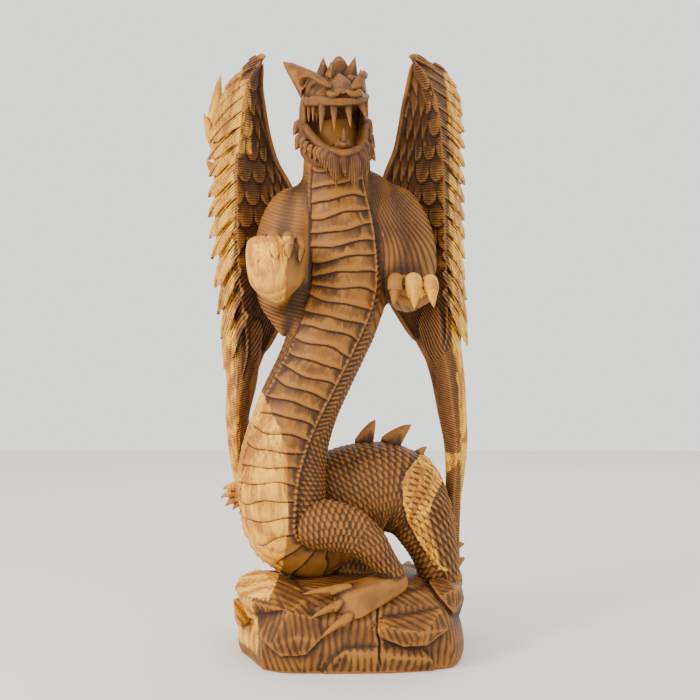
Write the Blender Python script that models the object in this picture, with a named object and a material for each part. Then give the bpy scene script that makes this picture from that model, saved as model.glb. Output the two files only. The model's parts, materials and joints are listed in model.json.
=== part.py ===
"""A dragon rearing over a rock, carved from one log of suar wood.

+Z is up, the dragon faces -Y and the origin is the middle of the rock's underside.
The log is one solid, so every form below is modelled as a closed skin and the skins are then
fused into one body. The figure is a free form: its points and widths are thousandths of HEIGHT.
"""

import math

import bmesh
import bpy
import numpy as np

# Driving dimensions, in metres
HEIGHT = 1.000  # floor to the tip of the right wing
FEATHER_THICKNESS = 0.0075  # of a flight feather at its quill
COVERT_THICKNESS = 0.0080  # of the short feathers that lie over the flight feathers' roots
PLATE_STEP = 0.0090  # how far each belly plate stands over the next
SPINE_THICKNESS = 0.011  # of the flat spines along the back and the tail
WING_WALL = 0.034  # of a wing from front to back, without its feathers

# The faceted solid: the grid that fuses the skins, and the faces kept afterwards
UNIT = HEIGHT / 1000.0
FUSING_GRID = 2.9 * UNIT
FACE_BUDGET = 9700

LEFT, RIGHT = -1, 1  # the viewer's left and right
VIEWER = (0.0, -1.0, 0.0)
UP = (0.0, 0.0, 1.0)

WOOD_COLOUR = (0.42, 0.22, 0.085, 1.0)
WOOD_ROUGHNESS = 0.55


def unit(vectors):
    """The vectors at length one."""
    vectors = np.asarray(vectors, float)
    return vectors / np.maximum(np.linalg.norm(vectors, axis=-1, keepdims=True), 1e-12)


def smooth_rows(rows, count):
    """Evenly spaced rows of a smooth curve through the given ones, whose first three values are a point."""
    rows = np.asarray(rows, float)
    chord = np.r_[0.0, np.cumsum(np.linalg.norm(np.diff(rows[:, :3], axis=0), axis=1))]
    slope = np.gradient(rows, chord, axis=0)
    wanted = np.linspace(0.0, chord[-1], 24 * len(rows))
    left = np.clip(np.searchsorted(chord, wanted, side="right") - 1, 0, len(rows) - 2)
    gap = (chord[left + 1] - chord[left])[:, None]
    t = (wanted[:, None] - chord[left][:, None]) / gap
    fine = (
        (2 * t**3 - 3 * t**2 + 1) * rows[left]
        + (t**3 - 2 * t**2 + t) * gap * slope[left]
        + (3 * t**2 - 2 * t**3) * rows[left + 1]
        + (t**3 - t**2) * gap * slope[left + 1]
    )
    length = np.r_[0.0, np.cumsum(np.linalg.norm(np.diff(fine[:, :3], axis=0), axis=1))]
    even = np.linspace(0.0, length[-1], count)
    return np.stack([np.interp(even, length, fine[:, i]) for i in range(rows.shape[1])], axis=1)


def skin(rings):
    """Points and faces of the closed surface over rings of points, ending in a pole at each end."""
    count, sides = rings.shape[:2]
    points = np.concatenate([rings.reshape(-1, 3), rings[[0, -1]].mean(axis=1)])
    ring, side = np.meshgrid(np.arange(count - 1), np.arange(sides), indexing="ij")
    following = (side + 1) % sides
    quads = np.stack(
        [
            ring * sides + side,
            (ring + 1) * sides + side,
            (ring + 1) * sides + following,
            ring * sides + following,
        ],
        axis=-1,
    ).reshape(-1, 4)
    around = np.arange(sides)
    beyond = (around + 1) % sides
    last = (count - 1) * sides
    start_pole, end_pole = count * sides, count * sides + 1
    fans = [(int(a), int(b), start_pole) for a, b in zip(around, beyond)]
    fans += [(last + int(b), last + int(a), end_pole) for a, b in zip(around, beyond)]
    return points, [tuple(q) for q in quads.tolist()] + fans


def loft(rows, front=VIEWER, sides=16, power=2.0, relief=None):
    """A skin along rows of (x, y, z, half width, half depth), all in metres, with its depth towards front."""
    rows = np.asarray(rows, float)
    centre, wide, deep = rows[:, :3], rows[:, 3:4], rows[:, 4:5]
    along = unit(np.gradient(centre, axis=0))
    side = unit(np.cross(along, np.broadcast_to(np.asarray(front, float), centre.shape)))
    facing = unit(np.cross(side, along))
    turn = np.arange(sides)[None, :] * 2 * math.pi / sides
    across = np.sign(np.cos(turn)) * np.abs(np.cos(turn)) ** (2 / power)
    outward = np.sign(np.sin(turn)) * np.abs(np.sin(turn)) ** (2 / power)
    if relief is not None:
        lift = relief(np.linspace(0.0, 1.0, len(rows))[:, None], turn)
        wide, deep = wide + lift, deep + lift
    rings = (
        centre[:, None]
        + side[:, None] * (wide * across)[..., None]
        + facing[:, None] * (deep * outward)[..., None]
    )
    return skin(rings)


def limb(points, count=24, front=VIEWER, sides=16, power=2.0, ends=(0.1, 0.1), relief=None):
    """A loft through hand-chosen (x, y, z, half width, half depth) in thousandths, with rounded ends."""
    rows = smooth_rows(points, count) * UNIT
    share = np.linspace(0.0, 1.0, count)
    near = np.clip(share / max(ends[0], 1e-6), 0.02, 1.0)
    far = np.clip((1.0 - share) / max(ends[1], 1e-6), 0.02, 1.0)
    swell = np.sqrt(1 - (1 - near) ** 2) * np.sqrt(1 - (1 - far) ** 2)
    rows[:, 3:] *= swell[:, None]
    return loft(rows, front, sides, power, relief)


def blade(root, tip, half_width, thickness, face, bend=(0.0, 0.0, 0.0), belly=0.45, sharp=0.8, count=14, sides=10):
    """A flat pointed leaf from root to tip, in thousandths but for its thickness in metres.

    It is widest at the share belly of its length, a higher sharp thins its point, and bend moves its middle.
    """
    root, tip, bend = (np.asarray(v, float) for v in (root, tip, bend))
    share = np.linspace(0.0, 1.0, count)
    centre = root + (tip - root) * share[:, None] + bend * (4 * share * (1 - share))[:, None]
    rise = np.clip(share / belly, 0.0, 1.0)
    fall = np.clip((1.0 - share) / (1.0 - belly), 0.0, 1.0)
    width = half_width * np.minimum(0.6 + 0.4 * np.sin(rise * math.pi / 2), fall**sharp)
    width = np.maximum(width, 0.03 * half_width)
    depth = 0.5 * thickness / UNIT * np.clip(fall * 2.5, 0.12, 1.0)
    rows = np.column_stack([centre, width, depth]) * UNIT
    return loft(rows, face, sides, power=1.5)


def spike(root, tip, radius, flat=1.0, face=VIEWER, bend=(0.0, 0.0, 0.0), sides=10):
    """A curved cone, such as a fang, claw or horn. flat is its depth as a share of its width."""
    root, tip, bend = (np.asarray(v, float) for v in (root, tip, bend))
    share = np.linspace(0.0, 1.0, 10)
    centre = root + (tip - root) * share[:, None] + bend * (4 * share * (1 - share))[:, None]
    width = radius * np.maximum((1 - share) ** 0.8, 0.06)
    rows = np.column_stack([centre, width, width * flat]) * UNIT
    return loft(rows, face, sides)


def hull(points):
    """The convex stone whose corners are the given points, in thousandths."""
    mesh = bmesh.new()
    for point in points:
        mesh.verts.new(np.asarray(point, float) * UNIT)
    made = bmesh.ops.convex_hull(mesh, input=mesh.verts)
    bmesh.ops.delete(mesh, geom=made["geom_interior"], context="VERTS")
    mesh.verts.index_update()
    corners = np.array([v.co for v in mesh.verts])
    faces = [tuple(v.index for v in face.verts) for face in mesh.faces]
    mesh.free()
    return corners, faces


# The log is read from the front: x to the viewer's right, y away from the viewer, z up,
# then half width and half depth

TORSO = (
    (-27, -62, 905, 38, 34),
    (-25, -62, 840, 50, 46),
    (-21, -55, 771, 60, 54),
    (-13, -50, 689, 72, 62),
    (-11, -52, 606, 74, 64),
    (-25, -56, 557, 71, 62),
    (-40, -60, 516, 67, 60),
    (-61, -62, 467, 65, 60),
    (-82, -64, 422, 66, 61),
    (-98, -66, 377, 68, 62),
    (-110, -66, 328, 72, 64),
    (-112, -62, 266, 74, 66),
    (-104, -50, 212, 68, 62),
    (-70, -30, 180, 58, 55),
    (-15, 0, 178, 46, 46),
)
PLATES_IN_TORSO = 33
PLATE_BAND = 0.78  # radians either side of the belly's middle
BELLY_TURNS = (0.0, 0.0, 0.02, 0.12, 0.32, 0.45)  # how far the belly turns to the viewer's left, going down

HAUNCH = (
    (-85, -10, 235, 52, 50),
    (-40, 0, 252, 74, 64),
    (10, 4, 264, 82, 70),
    (50, 6, 267, 82, 70),
    (84, 6, 258, 78, 64),
    (113, 2, 230, 60, 54),
    (130, -6, 195, 47, 47),
    (143, -10, 155, 37, 42),
    (150, -4, 118, 33, 38),
)

TAIL = (
    (150, -10, 128, 33, 36),
    (162, 30, 108, 32, 32),
    (158, 84, 96, 31, 31),
    (118, 132, 86, 30, 30),
    (50, 154, 82, 29, 29),
    (-30, 156, 86, 27, 27),
    (-100, 142, 112, 25, 25),
    (-148, 118, 165, 23, 23),
    (-174, 96, 235, 21, 20),
    (-186, 80, 310, 19, 18),
    (-194, 76, 400, 17, 16),
    (-200, 82, 500, 15, 15),
    (-208, 90, 600, 14, 14),
    (-218, 96, 700, 13, 13),
    (-228, 98, 800, 12, 11),
    (-232, 97, 850, 9, 9),
)

THIGH = (
    (-94, -78, 228, 34, 32),
    (-66, -92, 226, 41, 37),
    (-32, -100, 224, 41, 38),
    (2, -104, 214, 38, 34),
    (30, -106, 196, 31, 30),
    (50, -104, 172, 24, 25),
    (68, -100, 150, 19, 22),
    (84, -96, 130, 17, 20),
)
FOOT = (
    (92, -94, 136, 16, 16),
    (62, -114, 129, 24, 16),
    (26, -130, 118, 31, 16),
    (-4, -142, 108, 34, 14),
    (-24, -148, 102, 26, 11),
)
FOOT_FACING = (0.0, -0.72, 0.69)
TOES = (
    ((-8, -132, 128), (-76, -146, 124), 12),
    ((-18, -146, 108), (-60, -164, 89), 12),
    ((-4, -154, 90), (-46, -174, 60), 12),
)

LEFT_SHOULDER = (
    (-58, -20, 778, 28, 32),
    (-86, -28, 736, 50, 46),
    (-104, -34, 682, 54, 52),
    (-108, -42, 624, 50, 48),
    (-106, -46, 572, 42, 42),
    (-108, -46, 530, 24, 30),
)
LEFT_FOREARM = (
    (-112, -44, 590, 34, 34),
    (-118, -74, 600, 32, 30),
    (-118, -104, 628, 28, 27),
    (-116, -122, 650, 26, 26),
)
LEFT_BREAST = (
    (-44, -34, 804, 20, 26),
    (-62, -42, 760, 34, 40),
    (-76, -46, 700, 46, 48),
    (-84, -48, 640, 48, 49),
    (-84, -46, 585, 42, 44),
    (-84, -44, 540, 26, 32),
)
ORB = (
    (-114, -138, 692, 42, 33),
    (-116, -140, 676, 47, 38),
    (-117, -141, 645, 47, 40),
    (-116, -139, 610, 39, 35),
    (-114, -136, 586, 25, 25),
)
ORB_FINGERS = (
    ((-146, -142, 684), (-144, -180, 648), 9),
    ((-122, -146, 690), (-114, -192, 650), 12),
    ((-98, -146, 690), (-94, -188, 652), 10),
    ((-80, -138, 684), (-78, -174, 648), 9),
)

RIGHT_SHOULDER = (
    (38, -20, 780, 28, 32),
    (66, -26, 740, 48, 46),
    (90, -28, 684, 52, 50),
    (98, -34, 622, 44, 46),
    (96, -38, 574, 28, 34),
)
RIGHT_BREAST = (
    (32, -32, 804, 20, 26),
    (46, -40, 760, 32, 38),
    (58, -44, 700, 42, 45),
    (66, -44, 640, 44, 45),
    (68, -42, 590, 34, 38),
)
RIGHT_FOREARM = (
    (92, -34, 606, 34, 34),
    (92, -62, 600, 32, 30),
    (97, -88, 604, 34, 26),
    (100, -106, 610, 38, 20),
    (100, -120, 614, 36, 14),
)
PAW_FINGERS = (
    ((74, -112, 624), (69, -140, 579), 13),
    ((101, -118, 624), (102, -146, 576), 14),
    ((127, -112, 622), (133, -140, 577), 13),
)

REAR_SHIN = ((-92, 10, 235, 40, 40), (-135, 34, 238, 30, 28), (-172, 52, 250, 20, 18), (-196, 58, 258, 15, 13))
FAR_THIGH = ((10, 8, 262, 52, 52), (10, 10, 215, 50, 50), (4, 6, 165, 48, 46), (-2, 0, 118, 44, 46))
REAR_CLAWS = (
    ((-190, 50, 264), (-222, 44, 262), 8),
    ((-192, 54, 254), (-226, 50, 246), 8),
    ((-190, 58, 246), (-218, 56, 230), 8),
    ((-184, 60, 240), (-206, 60, 222), 7),
)

# Flat spines that stand on the back: root, tip and half width at the root
BACK_SPINES = (
    ((20, 8, 338), (44, 12, 388), 17),
    ((62, 10, 338), (106, 14, 379), 19),
    ((100, 6, 306), (132, 8, 342), 14),
    ((122, 2, 268), (157, 2, 290), 14),
    ((140, -4, 228), (171, -8, 232), 14),
    ((150, -8, 196), (182, -10, 212), 12),
    ((160, -6, 160), (196, 2, 176), 15),
    ((170, 40, 120), (202, 56, 142), 14),
    ((160, 100, 104), (190, 130, 126), 14),
    ((100, 158, 92), (112, 196, 108), 14),
    ((30, 172, 92), (28, 208, 106), 14),
    ((-46, 172, 98), (-58, 204, 118), 13),
    ((-110, 154, 130), (-136, 182, 152), 13),
    ((-156, 126, 182), (-190, 142, 196), 13),
    ((-178, 92, 240), (-218, 88, 232), 12),
)
NECK_SPINES = (
    ((-34, -40, 872), (-62, 14, 880), 14),
    ((-36, -34, 834), (-72, 28, 842), 15),
    ((-34, -26, 798), (-76, 36, 800), 15),
    ((-30, -20, 756), (-60, 52, 750), 16),
    ((-24, -14, 706), (-40, 62, 694), 17),
    ((-24, -14, 650), (-32, 64, 634), 17),
    ((-30, -18, 592), (-30, 60, 572), 17),
    ((-48, -22, 536), (-38, 56, 514), 17),
    ((-70, -24, 482), (-52, 54, 462), 17),
    ((-88, -26, 430), (-66, 50, 412), 16),
    ((-98, -26, 376), (-72, 50, 362), 16),
    ((-98, -14, 322), (-62, 66, 322), 16),
)

# A wing is a bent plate: its inner edge beside the head, its forward ridge and its outer edge,
# each from the top down
LEFT_INNER = (
    (-146, -14, 984), (-150, 8, 950), (-146, 22, 914), (-138, 30, 867), (-124, 36, 822),
    (-104, 38, 786), (-88, 38, 740), (-84, 38, 680), (-96, 38, 600), (-122, 34, 545), (-146, 28, 500),
)
LEFT_RIDGE = (
    (-148, -34, 984), (-166, -34, 956), (-176, -34, 923), (-181, -35, 873), (-186, -35, 823),
    (-188, -35, 756), (-187, -35, 690), (-184, -30, 623), (-176, -24, 557), (-172, -18, 500),
)
LEFT_TIPS = (
    (-150, -22, 992), (-172, 0, 984), (-196, 20, 970), (-216, 35, 947), (-229, 45, 909), (-242, 55, 858),
    (-245, 58, 829), (-244, 60, 800), (-245, 60, 765), (-245, 60, 730), (-243, 60, 694), (-238, 60, 661),
    (-234, 55, 609), (-227, 50, 566), (-221, 43, 521), (-217, 35, 470),
)
RIGHT_INNER = (
    (104, -14, 984), (98, 8, 950), (92, 22, 923), (86, 30, 886), (77, 36, 844),
    (62, 38, 806), (50, 38, 760), (46, 38, 690), (58, 38, 612), (86, 34, 560), (112, 28, 520),
)
RIGHT_RIDGE = (
    (106, -34, 986), (123, -34, 966), (140, -35, 931), (150, -35, 873), (155, -35, 806),
    (158, -35, 740), (160, -32, 657), (162, -28, 590), (162, -22, 535), (158, -16, 500),
)
RIGHT_TIPS = (
    (108, -22, 990), (127, 0, 992), (148, 20, 990), (166, 35, 978), (186, 45, 945), (194, 55, 906),
    (197, 58, 876), (198, 60, 848), (198, 60, 817), (198, 60, 786), (197, 60, 755), (197, 60, 725),
    (198, 60, 692), (198, 60, 659), (198, 56, 624), (200, 50, 588), (201, 43, 548), (202, 36, 508),
)
FIRST_FREE_TIP = 5  # the tips before this one lie along the wing's closed top
LEFT_STRAP = (
    (-180, 8, 570, 36, 22), (-184, 8, 510, 34, 21), (-184, 10, 450, 26, 20), (-191, 12, 400, 21, 18),
    (-192, 16, 350, 17, 15), (-188, 26, 290, 13, 12), (-180, 44, 240, 11, 10),
)
RIGHT_STRAP = (
    (146, 4, 590, 34, 24), (152, 6, 530, 34, 23), (166, 10, 460, 29, 22), (174, 14, 400, 25, 19),
    (180, 18, 350, 21, 16), (180, 22, 300, 17, 14), (177, 22, 250, 14, 12), (178, 14, 190, 10, 10),
    (178, 8, 120, 10, 10),
)

# The head is modelled about its own middle, facing the viewer, and then turned a little
HEAD_PLACE = (-28, -80, 880)
HEAD_YAW = math.radians(7.0)
SKULL = ((0, 52, 8, 26, 30), (0, 34, 20, 46, 40), (0, 0, 36, 50, 36), (-1, -34, 44, 46, 26), (-1, -60, 42, 38, 18))
SNOUT = (
    (0, -10, 40, 44, 28), (0, -44, 36, 42, 22), (1, -76, 30, 40, 16), (2, -100, 22, 38, 11), (2, -112, 18, 34, 7),
)
LIP = ((-46, -30, 22, 6, 5), (-44, -70, 17, 7, 5), (-30, -104, 13, 8, 5), (2, -117, 12, 8, 5),
       (30, -107, 17, 8, 5), (44, -76, 27, 7, 5), (48, -34, 38, 6, 5))
NOSE = ((5, -36, 72), (5, -74, 63), (1, -117, 28), (-13, -90, 46), (-21, -105, 27), (17, -86, 50), (22, -107, 31),
        (-24, -40, 54), (30, -40, 58), (0, -100, 18))
LOWER_JAW = (
    (2, 26, -50, 44, 18), (4, -10, -60, 44, 13), (6, -48, -68, 37, 9), (7, -76, -72, 27, 8), (7, -90, -72, 18, 7),
)
LOWER_LIP = ((-48, -8, -4, 7, 7), (-45, -36, -18, 6, 7), (-36, -62, -36, 6, 7), (-19, -86, -54, 6, 6),
             (7, -98, -62, 6, 6), (28, -90, -56, 6, 6), (42, -62, -38, 6, 7), (48, -34, -16, 6, 7), (50, -6, 4, 7, 7))
JAW_WALL = ((-50, -2, -30, 6, 26), (-45, -34, -44, 6, 24), (-34, -60, -58, 6, 20), (-17, -82, -70, 6, 13),
            (8, -92, -74, 6, 10), (28, -84, -69, 6, 13), (42, -58, -57, 6, 21), (48, -30, -40, 6, 25), (51, 0, -24, 6, 26))
CHEEK = ((48, -20, 40, 10, 24), (49, -16, 14, 8, 20), (48, -12, -14, 8, 20), (46, -6, -40, 10, 24))
TONGUE = ((2, 0, -48, 18, 9), (5, -38, -48, 14, 8), (7, -62, -49, 11, 9), (8, -80, -47, 13, 12), (8, -90, -48, 9, 9))
FANGS = (
    ((-18, -106, 16), (-22, -108, -33), 8.5),
    ((1, -112, 16), (3, -114, -26), 9),
    ((24, -108, 18), (29, -112, -19), 9),
    ((38, -94, 24), (54, -102, -11), 8.5),
    ((-38, -82, 16), (-40, -82, -16), 6),
    ((-43, -58, 16), (-45, -58, -10), 5),
    ((45, -66, 28), (48, -66, 0), 5),
)
LOWER_TOOTH = ((8, -84, -46), (7, -90, -20), 5)
BROWS = (
    ((-56, -52, 46, 6, 5), (-53, -68, 57, 8, 7), (-42, -82, 58, 9, 7), (-28, -94, 48, 9, 6), (-14, -102, 38, 7, 5)),
    ((45, -44, 70, 5, 5), (42, -58, 66, 8, 7), (36, -74, 56, 10, 8), (28, -90, 45, 9, 7), (18, -102, 36, 7, 5)),
)
NOSTRILS = (
    ((-20, -108, 30, 5, 5), (-14, -116, 25, 6, 5), (-6, -120, 27, 5, 4), (-2, -118, 33, 4, 4)),
    ((8, -118, 32, 4, 4), (14, -119, 27, 5, 4), (24, -115, 27, 6, 5), (32, -106, 34, 5, 5)),
)
LEFT_EAR = (
    (-82, 2, 95), (-63, 4, 93), (-27, -30, 72), (-54, -34, 42), (-28, 10, 58), (-50, 8, 34), (-64, 14, 84),
    (-78, 12, 88),
)
RIGHT_EAR = ((46, 6, 86), (54, 14, 80), (34, -20, 58), (56, -16, 26), (36, 20, 50), (54, 20, 28))
CREST = (
    ((-20, -40, 56), (-19, -34, 97), 13),
    ((-10, -52, 60), (-8, -50, 88), 8),
    ((8, -28, 56), (8, -18, 102), 17),
    ((22, -36, 56), (33, -30, 100), 13),
    ((0, 10, 56), (0, 34, 92), 15),
    ((2, 36, 44), (2, 70, 72), 15),
)
BEARD = (
    ((2, -62, -50), (4, -80, -104), 36),
    ((24, -62, -50), (26, -78, -108), 26),
    ((-24, -66, -62), (-30, -76, -80), 11),
    ((-12, -78, -64), (-11, -82, -94), 13),
    ((10, -84, -66), (11, -86, -110), 16),
    ((32, -74, -64), (38, -76, -117), 15),
    ((45, -44, -50), (62, -48, -88), 11),
    ((49, -28, -38), (66, -32, -68), 10),
    ((51, -16, -20), (67, -18, -46), 10),
    ((-34, -50, -54), (-38, -58, -82), 12),
    ((-44, -34, -44), (-54, -40, -70), 10),
    ((-50, -14, -24), (-62, -12, -50), 10),
    ((-50, 4, 0), (-64, 6, -24), 10),
    ((51, 0, 4), (66, 2, -20), 10),
)

# The rock: its outline on the floor from the left front corner round by the back, then how far that outline
# has shrunk towards ROCK_MIDDLE at each height, then the corners of the stones that break out of it
ROCK_PLAN = (
    (-141, -148), (-113, -166), (-47, -171), (30, -166), (128, -150), (162, -138), (183, -86), (190, -20),
    (188, 40), (176, 96), (140, 138), (60, 152), (-60, 150), (-130, 132), (-172, 84), (-189, 20), (-186, -26),
    (-164, -86),
)
ROCK_MIDDLE = (0.0, -10.0)
ROCK_RINGS = ((0, 0.985), (8, 1.0), (34, 1.0), (62, 0.96), (84, 0.91), (102, 0.82), (118, 0.68), (128, 0.5), (132, 0.25))
STONES = (
    ((-190, -80, 118), (-181, -60, 134), (-155, -50, 143), (-132, -88, 139), (-101, -60, 131), (-174, -116, 106),
     (-117, -158, 101), (-100, -160, 99), (-165, -106, 74), (-115, -130, 70), (-150, 20, 122), (-100, 0, 122),
     (-186, 0, 100)),
    ((-132, -88, 138), (-86, -178, 60), (-98, -166, 98), (-126, -172, 42), (-108, -176, 28), (-70, -178, 31),
     (-48, -172, 52), (-30, -154, 78), (-54, -118, 116), (-101, -60, 130), (-152, -140, 58), (-160, -110, 90)),
    ((34, -172, 70), (52, -172, 76), (116, -176, 66), (123, -156, 78), (147, -128, 92), (158, -148, 66),
     (122, -172, 46), (84, -172, 44), (46, -168, 58), (60, -110, 104), (140, -90, 100), (100, -120, 30)),
    ((146, -104, 108), (176, -84, 118), (190, -60, 96), (188, -10, 112), (150, -20, 130), (168, -112, 84),
     (186, -20, 60), (130, -60, 124), (160, -60, 50)),
    ((-30, -172, 22), (-10, -175, 35), (42, -174, 32), (80, -172, 26), (132, -162, 20), (-44, -172, 0),
     (136, -152, 0), (60, -168, 0), (0, -150, 60), (100, -150, 50)),
    ((-196, -40, 92), (-190, -84, 70), (-178, -106, 60), (-188, -40, 44), (-150, -40, 60), (-190, 10, 84)),
    ((-150, 60, 120), (-182, 30, 96), (-166, 106, 78), (-100, 150, 64), (-60, 110, 112), (-190, 50, 40),
     (-120, 146, 24), (-60, 60, 60)),
    ((60, 100, 106), (120, 110, 100), (186, 60, 92), (160, 118, 60), (90, 152, 30), (150, 20, 118),
     (40, 60, 60), (20, 150, 60)),
)


def turned(direction, angle):
    """The direction turned about +Z by the angle, seen from above anticlockwise."""
    x, y, z = direction
    return (x * math.cos(angle) - y * math.sin(angle), x * math.sin(angle) + y * math.cos(angle), z)


def belly_facing(count):
    """Where the belly faces at each of count rows down the torso."""
    angles = np.interp(np.linspace(0, 1, count), np.linspace(0, 1, len(BELLY_TURNS)), BELLY_TURNS)
    return np.array([turned(VIEWER, -angle * math.pi / 2) for angle in angles])


def belly_plates(share, turn):
    """Lift of the torso's skin: a stepped row of plates up its front, between two beaded edges."""
    offset = np.abs(turn - math.pi / 2)
    wave = 0.012 * np.sin(2.4 * (turn - math.pi / 2))
    phase = (share + wave) * PLATES_IN_TORSO % 1.0
    plate = PLATE_STEP * (phase - 0.4) * np.clip((0.97 - share) * 20, 0.0, 1.0)
    bead = 0.9 * PLATE_STEP * np.exp(-(((offset - PLATE_BAND) / 0.07) ** 2))
    inside = 1.0 / (1.0 + np.exp((offset - PLATE_BAND) / 0.03))
    return plate * inside + bead


def body():
    """Neck, breast and belly in one curve, then the haunch and the tail that climbs behind the left wing."""
    count = 230
    rows = smooth_rows(TORSO, count) * UNIT
    shapes = [loft(rows, belly_facing(count), sides=64, relief=belly_plates)]
    shapes.append(limb(HAUNCH, 40, sides=28, ends=(0.2, 0.02)))
    shapes.append(limb(TAIL, 80, front=UP, sides=16, ends=(0.02, 0.03)))
    return shapes


def spines():
    """The flat spines on the back, from the nape down to the tail."""
    shapes = []
    for root, tip, half_width in BACK_SPINES:
        shapes.append(blade(root, tip, half_width, SPINE_THICKNESS, VIEWER, bend=(0, 0, 4), belly=0.15))
    for root, tip, half_width in NECK_SPINES:
        shapes.append(blade(root, tip, half_width, SPINE_THICKNESS, (1, 0, 0), bend=(0, 0, 4), belly=0.15))
    return shapes


def tail_tuft():
    """Three leaves at the tail's end, beside the left wing."""
    leaves = (
        ((-228, 97, 830), (-225, 96, 988), 15, (-8, 0, 0)),
        ((-232, 97, 845), (-259, 95, 921), 11, (3, 0, -4)),
        ((-228, 97, 820), (-252, 95, 836), 10, (0, 0, -6)),
    )
    return [
        blade(root, tip, half_width, 0.011, VIEWER, bend=bend, belly=0.5)
        for root, tip, half_width, bend in leaves
    ]


def clawed(digits, face=VIEWER, knuckle=(0, 0, 6), sides=10):
    """Fingers or toes, each a bent limb that ends in a claw."""
    shapes = []
    for root, tip, radius in digits:
        root, tip = np.asarray(root, float), np.asarray(tip, float)
        nail = root + (tip - root) * 0.62 + np.asarray(knuckle, float) * 0.8
        shapes.append(limb(
            [(*root, radius, radius), (*(root + (nail - root) * 0.5 + knuckle), radius, radius * 0.9),
             (*nail, radius * 0.85, radius * 0.8)],
            12, front=face, sides=sides, ends=(0.2, 0.25),
        ))
        shapes.append(spike(nail, tip, radius * 0.72, face=face, bend=(0, 0, 2)))
    return shapes


def limbs():
    """The thigh and foot in front, both arms with their claws, and the far hind foot."""
    shapes = [
        limb(THIGH, 30, sides=24, ends=(0.22, 0.1)),
        limb(FOOT, 16, front=FOOT_FACING, sides=16, power=1.7, ends=(0.15, 0.2)),
        limb(LEFT_SHOULDER, 20, sides=20, ends=(0.2, 0.25)),
        limb(LEFT_FOREARM, 16, sides=16, ends=(0.1, 0.2)),
        limb(LEFT_BREAST, 20, sides=20, ends=(0.2, 0.25)),
        limb(RIGHT_BREAST, 20, sides=20, ends=(0.2, 0.25)),
        limb(ORB, 18, sides=20, ends=(0.16, 0.35)),
        limb(RIGHT_SHOULDER, 20, sides=20, ends=(0.2, 0.25)),
        limb(RIGHT_FOREARM, 16, sides=16, ends=(0.1, 0.25)),
        limb(REAR_SHIN, 16, sides=16, ends=(0.1, 0.2)),
        limb(FAR_THIGH, 20, sides=20, ends=(0.2, 0.1)),
    ]
    shapes += clawed(TOES, face=FOOT_FACING, knuckle=(0, -3, 5))
    shapes += clawed(ORB_FINGERS, knuckle=(0, -10, 3))
    shapes += clawed(PAW_FINGERS, knuckle=(0, -9, 3))
    shapes += clawed(REAR_CLAWS, knuckle=(-2, 0, 3))
    return shapes


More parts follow.
